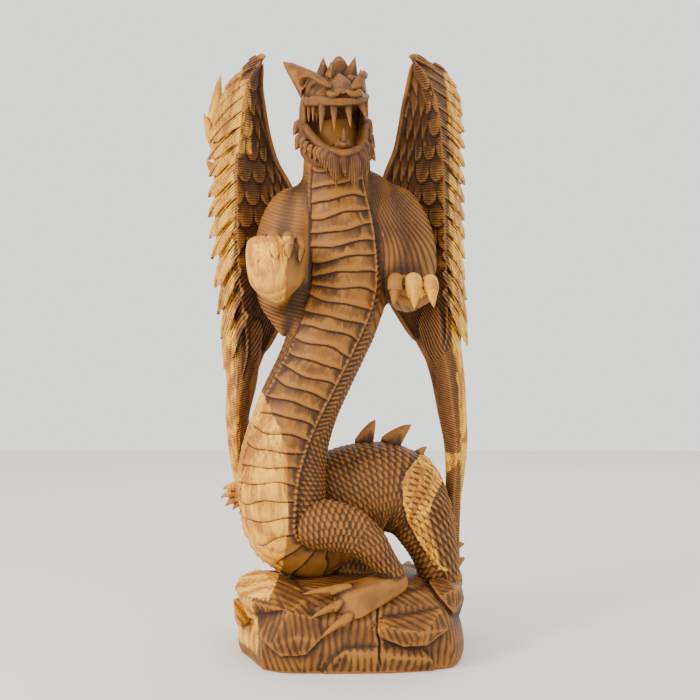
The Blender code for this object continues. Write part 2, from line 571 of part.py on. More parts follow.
class Wing:
    """One wing: a bent plate under rows of feathers, drawn out below into a long strap."""

    COVERTS = 11  # in each of the two rows over the flight feathers' roots

    def __init__(self, inner, ridge, tips, strap, side):
        self.inner, self.ridge, self.tips = (smooth_rows(line, 200) for line in (inner, ridge, tips))
        self.free_tips = np.asarray(tips, float)[FIRST_FREE_TIP:]
        self.top_tips = np.asarray(tips, float)[2:FIRST_FREE_TIP]
        self.strap = strap
        self.side = side
        self.outer_face = unit((0.85 * side, -0.52, 0.0))
        self.inner_face = unit((-0.72 * side, -0.69, 0.0))

    def at_height(self, line, z):
        """The point of a line of the wing at a height."""
        order = np.argsort(line[:, 2])
        return np.array([np.interp(z, line[order, 2], line[order, i]) for i in range(3)])

    def plate(self):
        """The wing without its feathers."""
        rings = []
        back = np.array((0.0, WING_WALL / UNIT, 0.0))
        for share in np.linspace(0.0, 1.0, 50):
            inner, ridge, tip = (line[int(share * 199)] for line in (self.inner, self.ridge, self.tips))
            rim = ridge + (tip - ridge) * np.interp(share, (0.0, 0.1, 0.25, 0.6, 1.0), (0.96, 0.92, 0.80, 0.74, 0.70))
            swell = min(1.0, math.sqrt(max(0.04, share * 14)), math.sqrt(max(0.04, (1 - share) * 8)))
            hollow = 9.0 * swell * min(1.0, share * 5)
            front = [
                inner + (ridge - inner) * t - self.inner_face * hollow * math.sin(math.pi * t)
                for t in np.linspace(0, 1, 7)
            ]
            front += [ridge + (rim - ridge) * t for t in np.linspace(0, 1, 7)[1:]]
            front[6] = front[6] * 0.5 + (front[5] + front[7]) * 0.25
            behind = [p + back * swell * (1.0 - 0.55 * i / 12) for i, p in enumerate(front)]
            rings.append((front + behind[::-1])[:: self.side])
        return skin(np.array(rings) * UNIT)

    def flight_feathers(self):
        """Long pointed feathers from the ridge to the outer edge, each lying over the next one down."""
        shapes = []
        tips = np.concatenate([self.top_tips, self.free_tips])
        pitch = -np.gradient(tips[:, 2])
        for i, tip in enumerate(tips):
            down = i / (len(tips) - 1)
            rise = 22 + 74 * down**1.7
            root = self.at_height(self.ridge, min(tip[2] + rise, self.ridge[:, 2].max() - 12))
            root = root + np.array((-4.0 * self.side, 8.0, 0.0))
            half_width = 0.5 * pitch[i] + 6 + 5 * down
            face = unit(self.outer_face + 0.34 * np.array(UP))
            shapes.append(blade(
                root, tip, half_width, FEATHER_THICKNESS, face,
                bend=self.outer_face * 6 + np.array((0, 0, 5.0)), belly=0.62, sharp=0.85, count=16, sides=12,
            ))
        return shapes

    def coverts(self):
        """A row of short round feathers beside the ridge and a row of narrow leaves further in."""
        shapes = []
        top, bottom = self.ridge[:, 2].max() - 34, self.ridge[:, 2].min() + 70
        rows = (
            (0.20, 18, 0.55, 0.7, 0.5, self.inner_face + self.outer_face * 0.3),
            (0.60, 13, 0.45, 1.1, 0.9, self.inner_face),
        )
        for inward, half_width, belly, overlap, sharp, face in rows:
            face = unit(face + np.array((0.0, 0.0, 0.3)))
            for i in range(self.COVERTS):
                z = top - (top - bottom) * i / self.COVERTS
                ridge, inner = self.at_height(self.ridge, z), self.at_height(self.inner, z)
                root = ridge + (inner - ridge) * inward
                drop = (top - bottom) / self.COVERTS * (1.3 + overlap * 0.3)
                below = self.at_height(self.ridge, z - drop) * (1 - inward)
                below = below + self.at_height(self.inner, z - drop) * inward
                shapes.append(blade(
                    root, below, half_width * (0.8 + 0.3 * i / self.COVERTS),
                    COVERT_THICKNESS, face, belly=belly, sharp=sharp,
                ))
        return shapes

    def shapes(self):
        """All of the wing, with the hooked tip at its top."""
        hook = self.inner[0]
        start = hook + np.array((22 * self.side, 10, -14))
        end = hook + np.array((-8 * self.side, -26, 6))
        return [
            self.plate(),
            spike(start, end, 17, flat=0.8, bend=(0, 0, 9)),
            limb(self.strap, 30, sides=14, power=1.35, ends=(0.1, 0.04)),
            *self.flight_feathers(),
            *self.coverts(),
        ]


def in_head(shapes):
    """Shapes of the head, turned and put on the neck."""
    c, s = math.cos(HEAD_YAW), math.sin(HEAD_YAW)
    spin = np.array(((c, -s, 0.0), (s, c, 0.0), (0.0, 0.0, 1.0)))
    place = np.array(HEAD_PLACE) * UNIT
    return [(points @ spin.T + place, faces) for points, faces in shapes]


def head():
    """The gaping head: skull and jaws around an open mouth, with fangs, ears, crest and beard."""
    mirrored_cheek = [(-x, y, z, w, d) for x, y, z, w, d in CHEEK]
    shapes = [
        limb(SKULL, 20, front=UP, sides=24, ends=(0.3, 0.1)),
        limb(SNOUT, 18, front=UP, sides=24, power=2.6, ends=(0.1, 0.08)),
        limb(LIP, 30, front=UP, sides=10, ends=(0.05, 0.05)),
        hull(NOSE),
        limb(LOWER_JAW, 18, front=UP, sides=24, power=2.4, ends=(0.1, 0.12)),
        limb(LOWER_LIP, 30, front=UP, sides=10, ends=(0.05, 0.05)),
        limb(JAW_WALL, 30, front=UP, sides=12, ends=(0.05, 0.05)),
        hull(LEFT_EAR),
        hull(RIGHT_EAR),
        limb(CHEEK, 14, sides=14, ends=(0.05, 0.05)),
        limb(mirrored_cheek, 14, sides=14, ends=(0.05, 0.05)),
        limb(TONGUE, 16, front=UP, sides=12, ends=(0.1, 0.2)),
        spike(*LOWER_TOOTH),
    ]
    shapes += [spike(root, tip, radius) for root, tip, radius in FANGS]
    shapes += [limb(brow, 14, front=UP, sides=10, ends=(0.2, 0.2)) for brow in BROWS]
    shapes += [limb(nostril, 8, front=UP, sides=10, ends=(0.3, 0.3)) for nostril in NOSTRILS]
    shapes += [blade(root, tip, width, 0.018, VIEWER, belly=0.2) for root, tip, width in CREST]
    shapes += [blade(root, tip, width, 0.015, VIEWER, belly=0.35) for root, tip, width in BEARD]
    return in_head(shapes)


def rock():
    """The rounded block of rock and the facetted stones that break out of it."""
    middle = np.array(ROCK_MIDDLE)
    outline = smooth_rows([(x, y, 0.0) for x, y in (*ROCK_PLAN, ROCK_PLAN[0])], 65)[:-1, :2]
    rings = [np.column_stack([middle + (outline - middle) * k, np.full(64, float(z))]) for z, k in ROCK_RINGS]
    return [skin(np.array(rings)[:, ::-1] * UNIT)] + [hull(stone) for stone in STONES]


def wood():
    """Oiled suar wood."""
    material = bpy.data.materials.new("suar_wood")
    material.use_nodes = True
    shader = material.node_tree.nodes["Principled BSDF"]
    shader.inputs["Base Color"].default_value = WOOD_COLOUR
    shader.inputs["Roughness"].default_value = WOOD_ROUGHNESS
    shader.inputs["Metallic"].default_value = 0.0
    material.diffuse_color = WOOD_COLOUR
    return material


def keep_largest_body(mesh):
    """Drops the specks and sealed pockets that fusing leaves, and returns how many triangles remain."""
    grown = bmesh.new()
    grown.from_mesh(mesh)
    unseen = set(grown.verts)
    bodies = []
    while unseen:
        edge_of_body = [unseen.pop()]
        found = []
        while edge_of_body:
            vertex = edge_of_body.pop()
            found.append(vertex)
            near = {edge.other_vert(vertex) for edge in vertex.link_edges} & unseen
            unseen -= near
            edge_of_body += near
        bodies.append(found)
    bodies.sort(key=len)
    for small in bodies[:-1]:
        bmesh.ops.delete(grown, geom=small, context="VERTS")
    triangles = sum(len(face.verts) - 2 for face in grown.faces)
    grown.to_mesh(mesh)
    grown.free()
    return triangles


def fused(name, shapes):
    """One object whose modifiers join closed shapes into one faceted solid within the face budget."""
    points, faces, used = [], [], 0
    for shape_points, shape_faces in shapes:
        points.append(shape_points)
        faces += [tuple(corner + used for corner in face) for face in shape_faces]
        used += len(shape_points)
    mesh = bpy.data.meshes.new(name)
    mesh.from_pydata(np.concatenate(points).tolist(), [], faces)
    mesh.materials.append(wood())
    made = bpy.data.objects.new(name, mesh)
    bpy.context.scene.collection.objects.link(made)

    fuse = made.modifiers.new("fuse", "REMESH")
    fuse.mode = "VOXEL"
    fuse.voxel_size = FUSING_GRID
    fuse.use_smooth_shade = True
    bpy.context.view_layer.update()
    made.data = bpy.data.meshes.new_from_object(made.evaluated_get(bpy.context.evaluated_depsgraph_get()))
    made.modifiers.clear()
    triangles = keep_largest_body(made.data)

    facets = made.modifiers.new("facets", "DECIMATE")
    facets.ratio = FACE_BUDGET / triangles
    facets.use_collapse_triangulate = True
    return made


def flat_underside(made):
    """Cuts the solid level with the floor, so that it stands on one flat face."""
    bpy.ops.mesh.primitive_cube_add(size=1.0, location=(0.0, 0.0, -0.5 * HEIGHT))
    floor = bpy.context.object
    floor.name = "floor_cutter"
    floor.scale = (2 * HEIGHT, 2 * HEIGHT, HEIGHT)
    bpy.ops.object.transform_apply(location=False, rotation=False, scale=True)
    floor.hide_render = True
    floor.display_type = "WIRE"
    level = made.modifiers.new("level", "BOOLEAN")
    level.operation = "DIFFERENCE"
    level.solver = "EXACT"
    level.object = floor


def main():
    for left_over in list(bpy.data.objects):
        bpy.data.objects.remove(left_over, do_unlink=True)
    shapes = rock() + body() + spines() + tail_tuft() + limbs()
    shapes += Wing(LEFT_INNER, LEFT_RIDGE, LEFT_TIPS, LEFT_STRAP, LEFT).shapes()
    shapes += Wing(RIGHT_INNER, RIGHT_RIDGE, RIGHT_TIPS, RIGHT_STRAP, RIGHT).shapes()
    shapes += head()
    flat_underside(fused("dragon_on_rock", shapes))


main()
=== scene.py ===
"""The looks of a carved wooden dragon on its rock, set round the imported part.

The carving comes from one log, so every sub-assembly is made the same way: its forms are lofted as
closed skins, fused on a fine grid and thinned to a number of faces. The tables of points are
thousandths of HEIGHT, as in the part's source: x to the viewer's right, y to the back, z up, and then
half width and half depth. Other sizes are in millimetres.
"""

import json
import logging
import math
from collections.abc import Callable, Sequence
from dataclasses import dataclass
from enum import Enum

import bmesh
import bpy
import numpy as np
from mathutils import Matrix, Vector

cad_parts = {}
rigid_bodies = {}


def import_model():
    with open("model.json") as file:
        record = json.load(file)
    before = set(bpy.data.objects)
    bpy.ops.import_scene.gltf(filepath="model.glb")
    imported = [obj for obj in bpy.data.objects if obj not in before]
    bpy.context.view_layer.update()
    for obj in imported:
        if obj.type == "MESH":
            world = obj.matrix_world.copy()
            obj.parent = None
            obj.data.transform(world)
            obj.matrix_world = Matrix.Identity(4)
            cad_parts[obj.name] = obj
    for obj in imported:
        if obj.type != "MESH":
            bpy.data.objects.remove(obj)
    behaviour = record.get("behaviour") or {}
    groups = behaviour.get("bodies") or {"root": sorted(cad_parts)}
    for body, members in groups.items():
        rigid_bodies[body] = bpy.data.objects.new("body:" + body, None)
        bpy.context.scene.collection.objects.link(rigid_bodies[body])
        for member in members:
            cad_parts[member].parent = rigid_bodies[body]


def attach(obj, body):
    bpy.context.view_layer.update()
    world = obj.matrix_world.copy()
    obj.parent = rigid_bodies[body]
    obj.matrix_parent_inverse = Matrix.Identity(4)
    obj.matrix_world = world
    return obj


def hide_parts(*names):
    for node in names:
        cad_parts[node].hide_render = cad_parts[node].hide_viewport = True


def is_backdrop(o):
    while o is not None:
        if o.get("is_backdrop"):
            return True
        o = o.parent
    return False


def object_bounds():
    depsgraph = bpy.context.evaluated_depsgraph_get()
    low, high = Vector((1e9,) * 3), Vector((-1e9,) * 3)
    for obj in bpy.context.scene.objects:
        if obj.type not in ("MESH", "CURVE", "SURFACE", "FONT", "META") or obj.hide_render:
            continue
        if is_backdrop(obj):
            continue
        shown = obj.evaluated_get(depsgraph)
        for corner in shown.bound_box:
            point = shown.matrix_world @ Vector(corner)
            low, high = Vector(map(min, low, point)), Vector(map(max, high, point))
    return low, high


HEIGHT = 1.000  # metres from the floor to the tip of the right wing
THOUSANDTH = HEIGHT / 1000
MM = 0.001
NODE = "dragon_on_rock"

VIEWER = (0.0, -1.0, 0.0)
UP = (0.0, 0.0, 1.0)
TO_RIGHT = (1.0, 0.0, 0.0)

SKIN_PITCH_MM = 1.3  # between a skin's points
FACING_ROUNDS = 12  # of smoothing, for the way a face looks
CAVITY_ROUNDS = 10  # for the nearest cuts
HOLLOW_ROUNDS = 50  # and for wider hollows

for left_over in list(bpy.data.objects):
    bpy.data.objects.remove(left_over, do_unlink=True)
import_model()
CAD_LOW, CAD_HIGH = (np.array(corner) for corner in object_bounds())

Rows = Sequence[Sequence[float]]
Blade = tuple[Sequence[float], Sequence[float], float]


class Side(Enum):
    """The viewer's left or right."""

    LEFT = -1
    RIGHT = 1


@dataclass(frozen=True)
class Skin:
    """A closed surface: its points in metres and its triangles."""

    points: np.ndarray
    faces: np.ndarray


@dataclass(frozen=True)
class Surface:
    """Where the points of a lofted skin lie, as arrays that broadcast to one value a point.

    share runs from 0 to 1 down the loft and along is that in millimetres. offset is the angle from the
    middle of the front, in radians. radius is the mean half width in millimetres, and place is the
    point itself in millimetres.
    """

    share: np.ndarray
    along: np.ndarray
    offset: np.ndarray
    radius: np.ndarray
    place: np.ndarray

    @property
    def around(self) -> np.ndarray:
        """The way round from the middle of the front, in millimetres."""
        return self.offset * self.radius


Relief = Callable[[Surface], np.ndarray]


def unit(vectors: np.ndarray | Sequence[float]) -> np.ndarray:
    """Gives the vectors the length one.

    Args:
        vectors: one vector, or an array whose last axis is x, y, z.

    Returns:
        An array of the same shape.
    """
    vectors = np.asarray(vectors, float)
    return vectors / np.maximum(np.linalg.norm(vectors, axis=-1, keepdims=True), 1e-12)


def soft_step(values: np.ndarray, low: float, high: float) -> np.ndarray:
    """Rises smoothly from 0 at low to 1 at high, for each of the values."""
    t = np.clip((values - low) / (high - low), 0.0, 1.0)
    return t * t * (3 - 2 * t)


def smooth_rows(rows: Rows, count: int) -> np.ndarray:
    """Evenly spaced rows of a smooth curve through the given ones.

    Args:
        rows: rows whose first three values are a point.
        count: how many rows to give back.

    Returns:
        An array with count rows.
    """
    rows = np.asarray(rows, float)
    chord = np.r_[0.0, np.cumsum(np.linalg.norm(np.diff(rows[:, :3], axis=0), axis=1))]
    slope = np.gradient(rows, chord, axis=0)
    wanted = np.linspace(0.0, chord[-1], 24 * len(rows))
    left = np.clip(np.searchsorted(chord, wanted, side="right") - 1, 0, len(rows) - 2)
    gap = (chord[left + 1] - chord[left])[:, None]
    t = (wanted[:, None] - chord[left][:, None]) / gap
    fine = (
        (2 * t**3 - 3 * t**2 + 1) * rows[left]
        + (t**3 - 2 * t**2 + t) * gap * slope[left]
        + (3 * t**2 - 2 * t**3) * rows[left + 1]
        + (t**3 - t**2) * gap * slope[left + 1]
    )
    length = np.r_[0.0, np.cumsum(np.linalg.norm(np.diff(fine[:, :3], axis=0), axis=1))]
    even = np.linspace(0.0, length[-1], count)
    return np.stack([np.interp(even, length, fine[:, i]) for i in range(rows.shape[1])], axis=1)


def closed_skin(rings: np.ndarray) -> Skin:
    """The closed surface over rings of points, with a pole at each end.

    Args:
        rings: an array of rings by points by x, y, z, in metres.

    Returns:
        The skin, its faces turned outwards.
    """
    count, sides = rings.shape[:2]
    points = np.concatenate([rings.reshape(-1, 3), rings[[0, -1]].mean(axis=1)])
    ring, side = np.meshgrid(np.arange(count - 1), np.arange(sides), indexing="ij")
    here, below = ring * sides, (ring + 1) * sides
    following = (side + 1) % sides
    halves = [
        np.stack([here + side, below + side, below + following], axis=-1),
        np.stack([here + side, below + following, here + following], axis=-1),
    ]
    around = np.arange(sides)
    beyond = (around + 1) % sides
    last = (count - 1) * sides
    caps = [
        np.column_stack([around, beyond, np.full(sides, count * sides)]),
        np.column_stack([last + beyond, last + around, np.full(sides, count * sides + 1)]),
    ]
    return Skin(points, np.concatenate([half.reshape(-1, 3) for half in halves] + caps))


def loft(
    rows: np.ndarray,
    front: Sequence[float] | np.ndarray = VIEWER,
    sides: int = 24,
    power: float = 2.0,
    relief: Relief | None = None,
) -> Skin:
    """A skin along rows of point, half width and half depth.

    Args:
        rows: x, y, z, half width and half depth, in metres.
        front: the way its depth faces, one direction or one a row.
        sides: points in each ring.
        power: 2 for an ellipse, less for a sharper edge, more for a boxier ring.
        relief: gives the carving's lift in millimetres.

    Returns:
        The closed skin.
    """
    centre, wide, deep = rows[:, :3], rows[:, 3:4], rows[:, 4:5]
    along = unit(np.gradient(centre, axis=0))
    side = unit(np.cross(along, np.broadcast_to(np.asarray(front, float), centre.shape)))
    facing = unit(np.cross(side, along))
    turn = np.arange(sides)[None, :] * 2 * math.pi / sides
    across = np.sign(np.cos(turn)) * np.abs(np.cos(turn)) ** (2 / power)
    outward = np.sign(np.sin(turn)) * np.abs(np.sin(turn)) ** (2 / power)

    def rings(wide: np.ndarray, deep: np.ndarray) -> np.ndarray:
        """The rings with these half widths and half depths."""
        return (
            centre[:, None]
            + side[:, None] * (wide * across)[..., None]
            + facing[:, None] * (deep * outward)[..., None]
        )

    if relief is None:
        return closed_skin(rings(wide, deep))
    steps = np.linalg.norm(np.diff(centre, axis=0), axis=1)
    surface = Surface(
        share=np.linspace(0.0, 1.0, len(rows))[:, None],
        along=np.r_[0.0, np.cumsum(steps)][:, None] / MM,
        offset=(turn + math.pi / 2) % (2 * math.pi) - math.pi,
        radius=(wide + deep) / 2 / MM,
        place=rings(wide, deep) / MM,
    )
    lift = relief(surface) * MM
    return closed_skin(rings(wide + lift, deep + lift))


def pitch_mm() -> float:
    """The distance between a skin's points."""
    return SKIN_PITCH_MM


def limb(
    points: Rows,
    front: Sequence[float] | np.ndarray = VIEWER,
    power: float = 2.0,
    ends: tuple[float, float] = (0.1, 0.1),
    relief: Relief | None = None,
) -> Skin:
    """A loft through given rows in thousandths, with rounded ends.

    Args:
        points: x, y, z, half width and half depth.
        front: the way its depth faces.
        power: the roundness of its rings, as in loft.
        ends: the share of its length over which each end rounds off.
        relief: the carving on it.

    Returns:
        The closed skin.
    """
    trial = smooth_rows(points, 200)
    length = np.linalg.norm(np.diff(trial[:, :3], axis=0), axis=1).sum()
    count = int(np.clip(length / pitch_mm(), 14, 900))
    sides = int(np.clip(2 * math.pi * trial[:, 3:].max() / pitch_mm(), 14, 420))
    rows = smooth_rows(points, count) * THOUSANDTH
    share = np.linspace(0.0, 1.0, count)
    near = np.clip(share / max(ends[0], 1e-6), 0.02, 1.0)
    far = np.clip((1.0 - share) / max(ends[1], 1e-6), 0.02, 1.0)
    swell = np.sqrt(1 - (1 - near) ** 2) * np.sqrt(1 - (1 - far) ** 2)
    rows[:, 3:] *= swell[:, None]
    return loft(rows, front, sides, power, relief)


def blade(
    shape: Blade,
    thickness: float,
    face: Sequence[float],
    bend: Sequence[float] = (0.0, 0.0, 0.0),
    belly: float = 0.45,
    sharp: float = 0.8,
) -> Skin:
    """A flat pointed leaf, such as a feather, a spine or a lock of the beard.

    Args:
        shape: its root, its tip and its half width, in thousandths.
        thickness: at the root, in millimetres.
        face: the way its flat side faces.
        bend: how far its middle is moved.
        belly: the share of its length at which it is widest.
        sharp: a higher value thins its point.

    Returns:
        The closed skin.
    """
    root, tip, half_width = np.asarray(shape[0], float), np.asarray(shape[1], float), shape[2]
    length = np.linalg.norm(tip - root)
    count = int(np.clip(length / pitch_mm(), 10, 200))
    share = np.linspace(0.0, 1.0, count)
    centre = root + (tip - root) * share[:, None] + np.asarray(bend) * (4 * share * (1 - share))[:, None]
    rise = np.clip(share / belly, 0.0, 1.0)
    fall = np.clip((1.0 - share) / (1.0 - belly), 0.0, 1.0)
    width = half_width * np.minimum(0.6 + 0.4 * np.sin(rise * math.pi / 2), fall**sharp)
    width = np.maximum(width, 0.03 * half_width)
    depth = 0.5 * thickness * np.clip(fall * 2.5, 0.12, 1.0)
    rows = np.column_stack([centre, width, depth]) * THOUSANDTH
    sides = int(np.clip(4.4 * half_width / pitch_mm(), 10, 90))
    return loft(rows, face, sides, power=1.5)


def spike(
    shape: Blade,
    flat: float = 1.0,
    face: Sequence[float] = VIEWER,
    bend: Sequence[float] = (0.0, 0.0, 0.0),
) -> Skin:
    """A curved cone, such as a fang or a claw.

    Args:
        shape: its root, its tip and its radius at the root, in thousandths.
        flat: its depth as a share of its width.
        face: the way its depth faces.
        bend: how far its middle is moved.

    Returns:
        The closed skin.
    """
    root, tip, radius = np.asarray(shape[0], float), np.asarray(shape[1], float), shape[2]
    share = np.linspace(0.0, 1.0, 30)
    centre = root + (tip - root) * share[:, None] + np.asarray(bend) * (4 * share * (1 - share))[:, None]
    width = radius * np.maximum((1 - share) ** 0.8, 0.06)
    return loft(np.column_stack([centre, width, width * flat]) * THOUSANDTH, face, 20)


def stone(corners: Rows) -> Skin:
    """The convex stone with these corners, in thousandths."""
    mesh = bmesh.new()
    for corner in corners:
        mesh.verts.new(np.asarray(corner, float) * THOUSANDTH)
    made = bmesh.ops.convex_hull(mesh, input=mesh.verts)
    bmesh.ops.delete(mesh, geom=made["geom_interior"], context="VERTS")
    bmesh.ops.triangulate(mesh, faces=mesh.faces)
    mesh.verts.index_update()
    points = np.array([vertex.co for vertex in mesh.verts])
    faces = np.array([[vertex.index for vertex in face.verts] for face in mesh.faces])
    mesh.free()
    return Skin(points, faces)


def clawed(
    digits: Sequence[Blade],
    face: Sequence[float] = VIEWER,
    knuckle: Sequence[float] = (0, 0, 6),
) -> list[Skin]:
    """Fingers or toes, each a bent limb that ends in a claw.

    Args:
        digits: each digit's root, tip and radius.
        face: the way their backs face.
        knuckle: how far the middle joint stands out.

    Returns:
        Two skins for each digit.
    """
    skins = []
    for root, tip, radius in digits:
        root, tip = np.asarray(root, float), np.asarray(tip, float)
        nail = root + (tip - root) * 0.5 + np.asarray(knuckle, float) * 0.8
        middle = root + (nail - root) * 0.5 + knuckle
        slim = radius * 0.92
        finger = ((*root, radius, radius), (*middle, radius, slim), (*nail, slim, radius * 0.8))
        skins.append(limb(finger, face, ends=(0.2, 0.12)))
        skins.append(spike((middle * 0.3 + nail * 0.7, tip, radius * 0.88), face=face, bend=(0, 0, 2)))
    return skins


def shingles(
    down: np.ndarray,
    across: np.ndarray,
    reach: float = 1.6,
    roundness: float = 1.0,
) -> np.ndarray:
    """The height of staggered drop-shaped scales, from 0 to 1.

    Args:
        down: the way down, one unit a row.
        across: the way across, one unit a scale.
        reach: how many rows long each scale is.
        roundness: 1 for a pointed end, 2 for a round one.

    Returns:
        The height at each point, highest at a scale's tip.
    """
    height = np.zeros(np.broadcast(down, across).shape)
    for row_back in (0, 1):
        row = np.floor(down) - row_back
        t = (down - row) / reach
        off = across - 0.5 * (row % 2)
        off = off - np.round(off)
        pointed = np.clip((t - 0.25) / 0.75, 0.0, 1.0) ** (0.7 + roundness)
        half = 0.5 * (1 - pointed) ** (1 / roundness)
        dome = (0.12 + 0.88 * t) * (1 - 0.28 * (off / np.maximum(half, 1e-6)) ** 2)
        height = np.maximum(height, np.where((np.abs(off) < half) & (t < 1), dome, 0.0))
    return height


def scales(
    surface: Surface,
    heading: float = 0.0,
    width: float = 8.4,
    length: float = 12.0,
    depth: float = 3.6,
) -> np.ndarray:
    """The lift of carved scales, in millimetres.

    Args:
        surface: the skin they are on.
        heading: the angle from the loft's way down to the way they point, in radians.
        width: of each scale.
        length: from one row to the next.
        depth: of the cut at each scale's tip.

    Returns:
        The lift at each point.
    """
    down = surface.along * math.cos(heading) - surface.around * math.sin(heading)
    across = surface.along * math.sin(heading) + surface.around * math.cos(heading)
    return depth * (shingles(down / length, across / width, 1.8) - 0.6)


def grooves(phase: np.ndarray, depth: float, sharp: float = 1.0) -> np.ndarray:
    """Gouge cuts, one for each whole number of the phase: rounded ridges between narrow cuts."""
    return depth * (np.abs(np.sin(math.pi * phase)) ** sharp - 1.0)


@dataclass(frozen=True)
class Cuts:
    """Rows of fine gouge cuts: phase counts them, and strength, from 0 to 1, says where they are."""

    phase: np.ndarray
    strength: np.ndarray

    def lift(self, depth: float) -> np.ndarray:
        """The lift at each point, in millimetres, of cuts of this depth."""
        return grooves(self.phase, depth, 0.8) * self.strength


@dataclass(frozen=True)
class Neighbours:
    """Which points of a mesh are joined to which."""

    order: np.ndarray
    start: np.ndarray
    count: np.ndarray

    @classmethod
    def of(cls, mesh: bpy.types.Mesh) -> "Neighbours":
        """Reads them from a mesh's edges."""
        ends = np.empty(len(mesh.edges) * 2, np.int32)
        mesh.edges.foreach_get("vertices", ends)
        ends = ends.reshape(-1, 2)
        source = np.concatenate([ends[:, 0], ends[:, 1]])
        target = np.concatenate([ends[:, 1], ends[:, 0]])
        sort = np.argsort(source, kind="stable")
        count = np.bincount(source, minlength=len(mesh.vertices))
        start = np.r_[0, np.cumsum(count)[:-1]]
        return cls(target[sort], start, count)

    def mean(self, values: np.ndarray) -> np.ndarray:
        """The mean of the values over each point's neighbours."""
        total = np.add.reduceat(values[self.order], self.start, axis=0)
        return total / np.maximum(self.count, 1).reshape((-1,) + (1,) * (values.ndim - 1))

    def smoothed(self, values: np.ndarray, steps: int) -> np.ndarray:
        """The values after a number of steps half way to their neighbours' mean."""
        for _ in range(steps):
            values = (self.mean(values) + values) * 0.5
        return values

    def bodies(self) -> np.ndarray:
        """A number for each point that is the same all over one loose body."""
        label = np.arange(len(self.count))
        while True:
            lower = np.minimum(label, np.minimum.reduceat(label[self.order], self.start))
            lower = lower[lower][lower]
            lower = lower[lower]
            if np.array_equal(lower, label):
                return label
            label = lower


def read_points(mesh: bpy.types.Mesh, normals: bool = False) -> np.ndarray:
    """A mesh's points, or its normals at them, as an array."""
    values = np.empty(len(mesh.vertices) * 3, np.float32)
    if normals:
        mesh.vertex_normals.foreach_get("vector", values)
    else:
        mesh.vertices.foreach_get("co", values)
    return values.reshape(-1, 3).astype(float)


def write_mesh(name: str, points: np.ndarray, faces: np.ndarray) -> bpy.types.Mesh:
    """A new mesh of triangles.

    Args:
        name: the mesh's name.
        points: in metres.
        faces: three point numbers each.

    Returns:
        The mesh.
    """
    mesh = bpy.data.meshes.new(name)
    mesh.vertices.add(len(points))
    mesh.vertices.foreach_set("co", points.astype(np.float32).ravel())
    mesh.loops.add(faces.size)
    mesh.loops.foreach_set("vertex_index", faces.astype(np.int32).ravel())
    mesh.polygons.add(len(faces))
    mesh.polygons.foreach_set("loop_start", np.arange(0, faces.size, 3, dtype=np.int32))
    mesh.update(calc_edges=True)
    return mesh


def move_points(mesh: bpy.types.Mesh, points: np.ndarray) -> None:
    """Puts a mesh's points where the array says, in metres."""
    mesh.vertices.foreach_set("co", points.astype(np.float32).ravel())
    mesh.update()


def with_modifier(made: bpy.types.Object, kind: str, **settings: float | str | bool) -> None:
    """Adds a modifier to an object and applies its result."""
    modifier = made.modifiers.new(kind.lower(), kind)
    for name, value in settings.items():
        setattr(modifier, name, value)
    bpy.context.view_layer.update()
    result = bpy.data.meshes.new_from_object(made.evaluated_get(bpy.context.evaluated_depsgraph_get()))
    made.modifiers.clear()
    old, made.data = made.data, result
    bpy.data.meshes.remove(old)


def read_triangles(mesh: bpy.types.Mesh) -> np.ndarray:
    """A mesh's triangles, three point numbers each."""
    mesh.calc_loop_triangles()
    values = np.empty(len(mesh.loop_triangles) * 3, np.int32)
    mesh.loop_triangles.foreach_get("vertices", values)
    return values.reshape(-1, 3)


def drop_specks(mesh: bpy.types.Mesh, least_cm3: float = 2.0) -> None:
    """Drops the specks and sealed pockets that fusing leaves: what encloses less than a small volume.

    Args:
        mesh: the fused mesh.
        least_cm3: the smallest volume that is kept. A pocket's volume is below zero.
    """
    label = Neighbours.of(mesh).bodies()
    points, faces = read_points(mesh) * 100, read_triangles(mesh)
    volume = np.bincount(label[faces[:, 0]], np.linalg.det(points[faces]) / 6, len(label))
    stray = volume[label] < least_cm3
    if not stray.any():
        return
    grown = bmesh.new()
    grown.from_mesh(mesh)
    grown.verts.ensure_lookup_table()
    loose = [grown.verts[int(i)] for i in np.flatnonzero(stray)]
    bmesh.ops.delete(grown, geom=loose, context="VERTS")
    grown.to_mesh(mesh)
    grown.free()


@dataclass(frozen=True)
class Zone:
    """A stretch of pale sapwood, as the viewer sees it: between two lines, back to a depth.

    heights, left and right are in millimetres, and edge is how wide its border is.
    """

    heights: Sequence[float]
    left: Sequence[float]
    right: Sequence[float]
    back: float
    edge: float = 4.0

    def share(self, points: np.ndarray) -> np.ndarray:
        """How far each point, in millimetres, is in the zone, from 0 to 1."""
        x, y, z = points.T
        left, right = (np.interp(z, self.heights, line) for line in (self.left, self.right))
        inside = np.minimum(x - left, right - x)
        inside = np.minimum(inside, np.minimum(z - self.heights[0], self.heights[-1] - z))
        inside = np.minimum(inside, self.back - y)
        return soft_step(inside, -self.edge, self.edge)


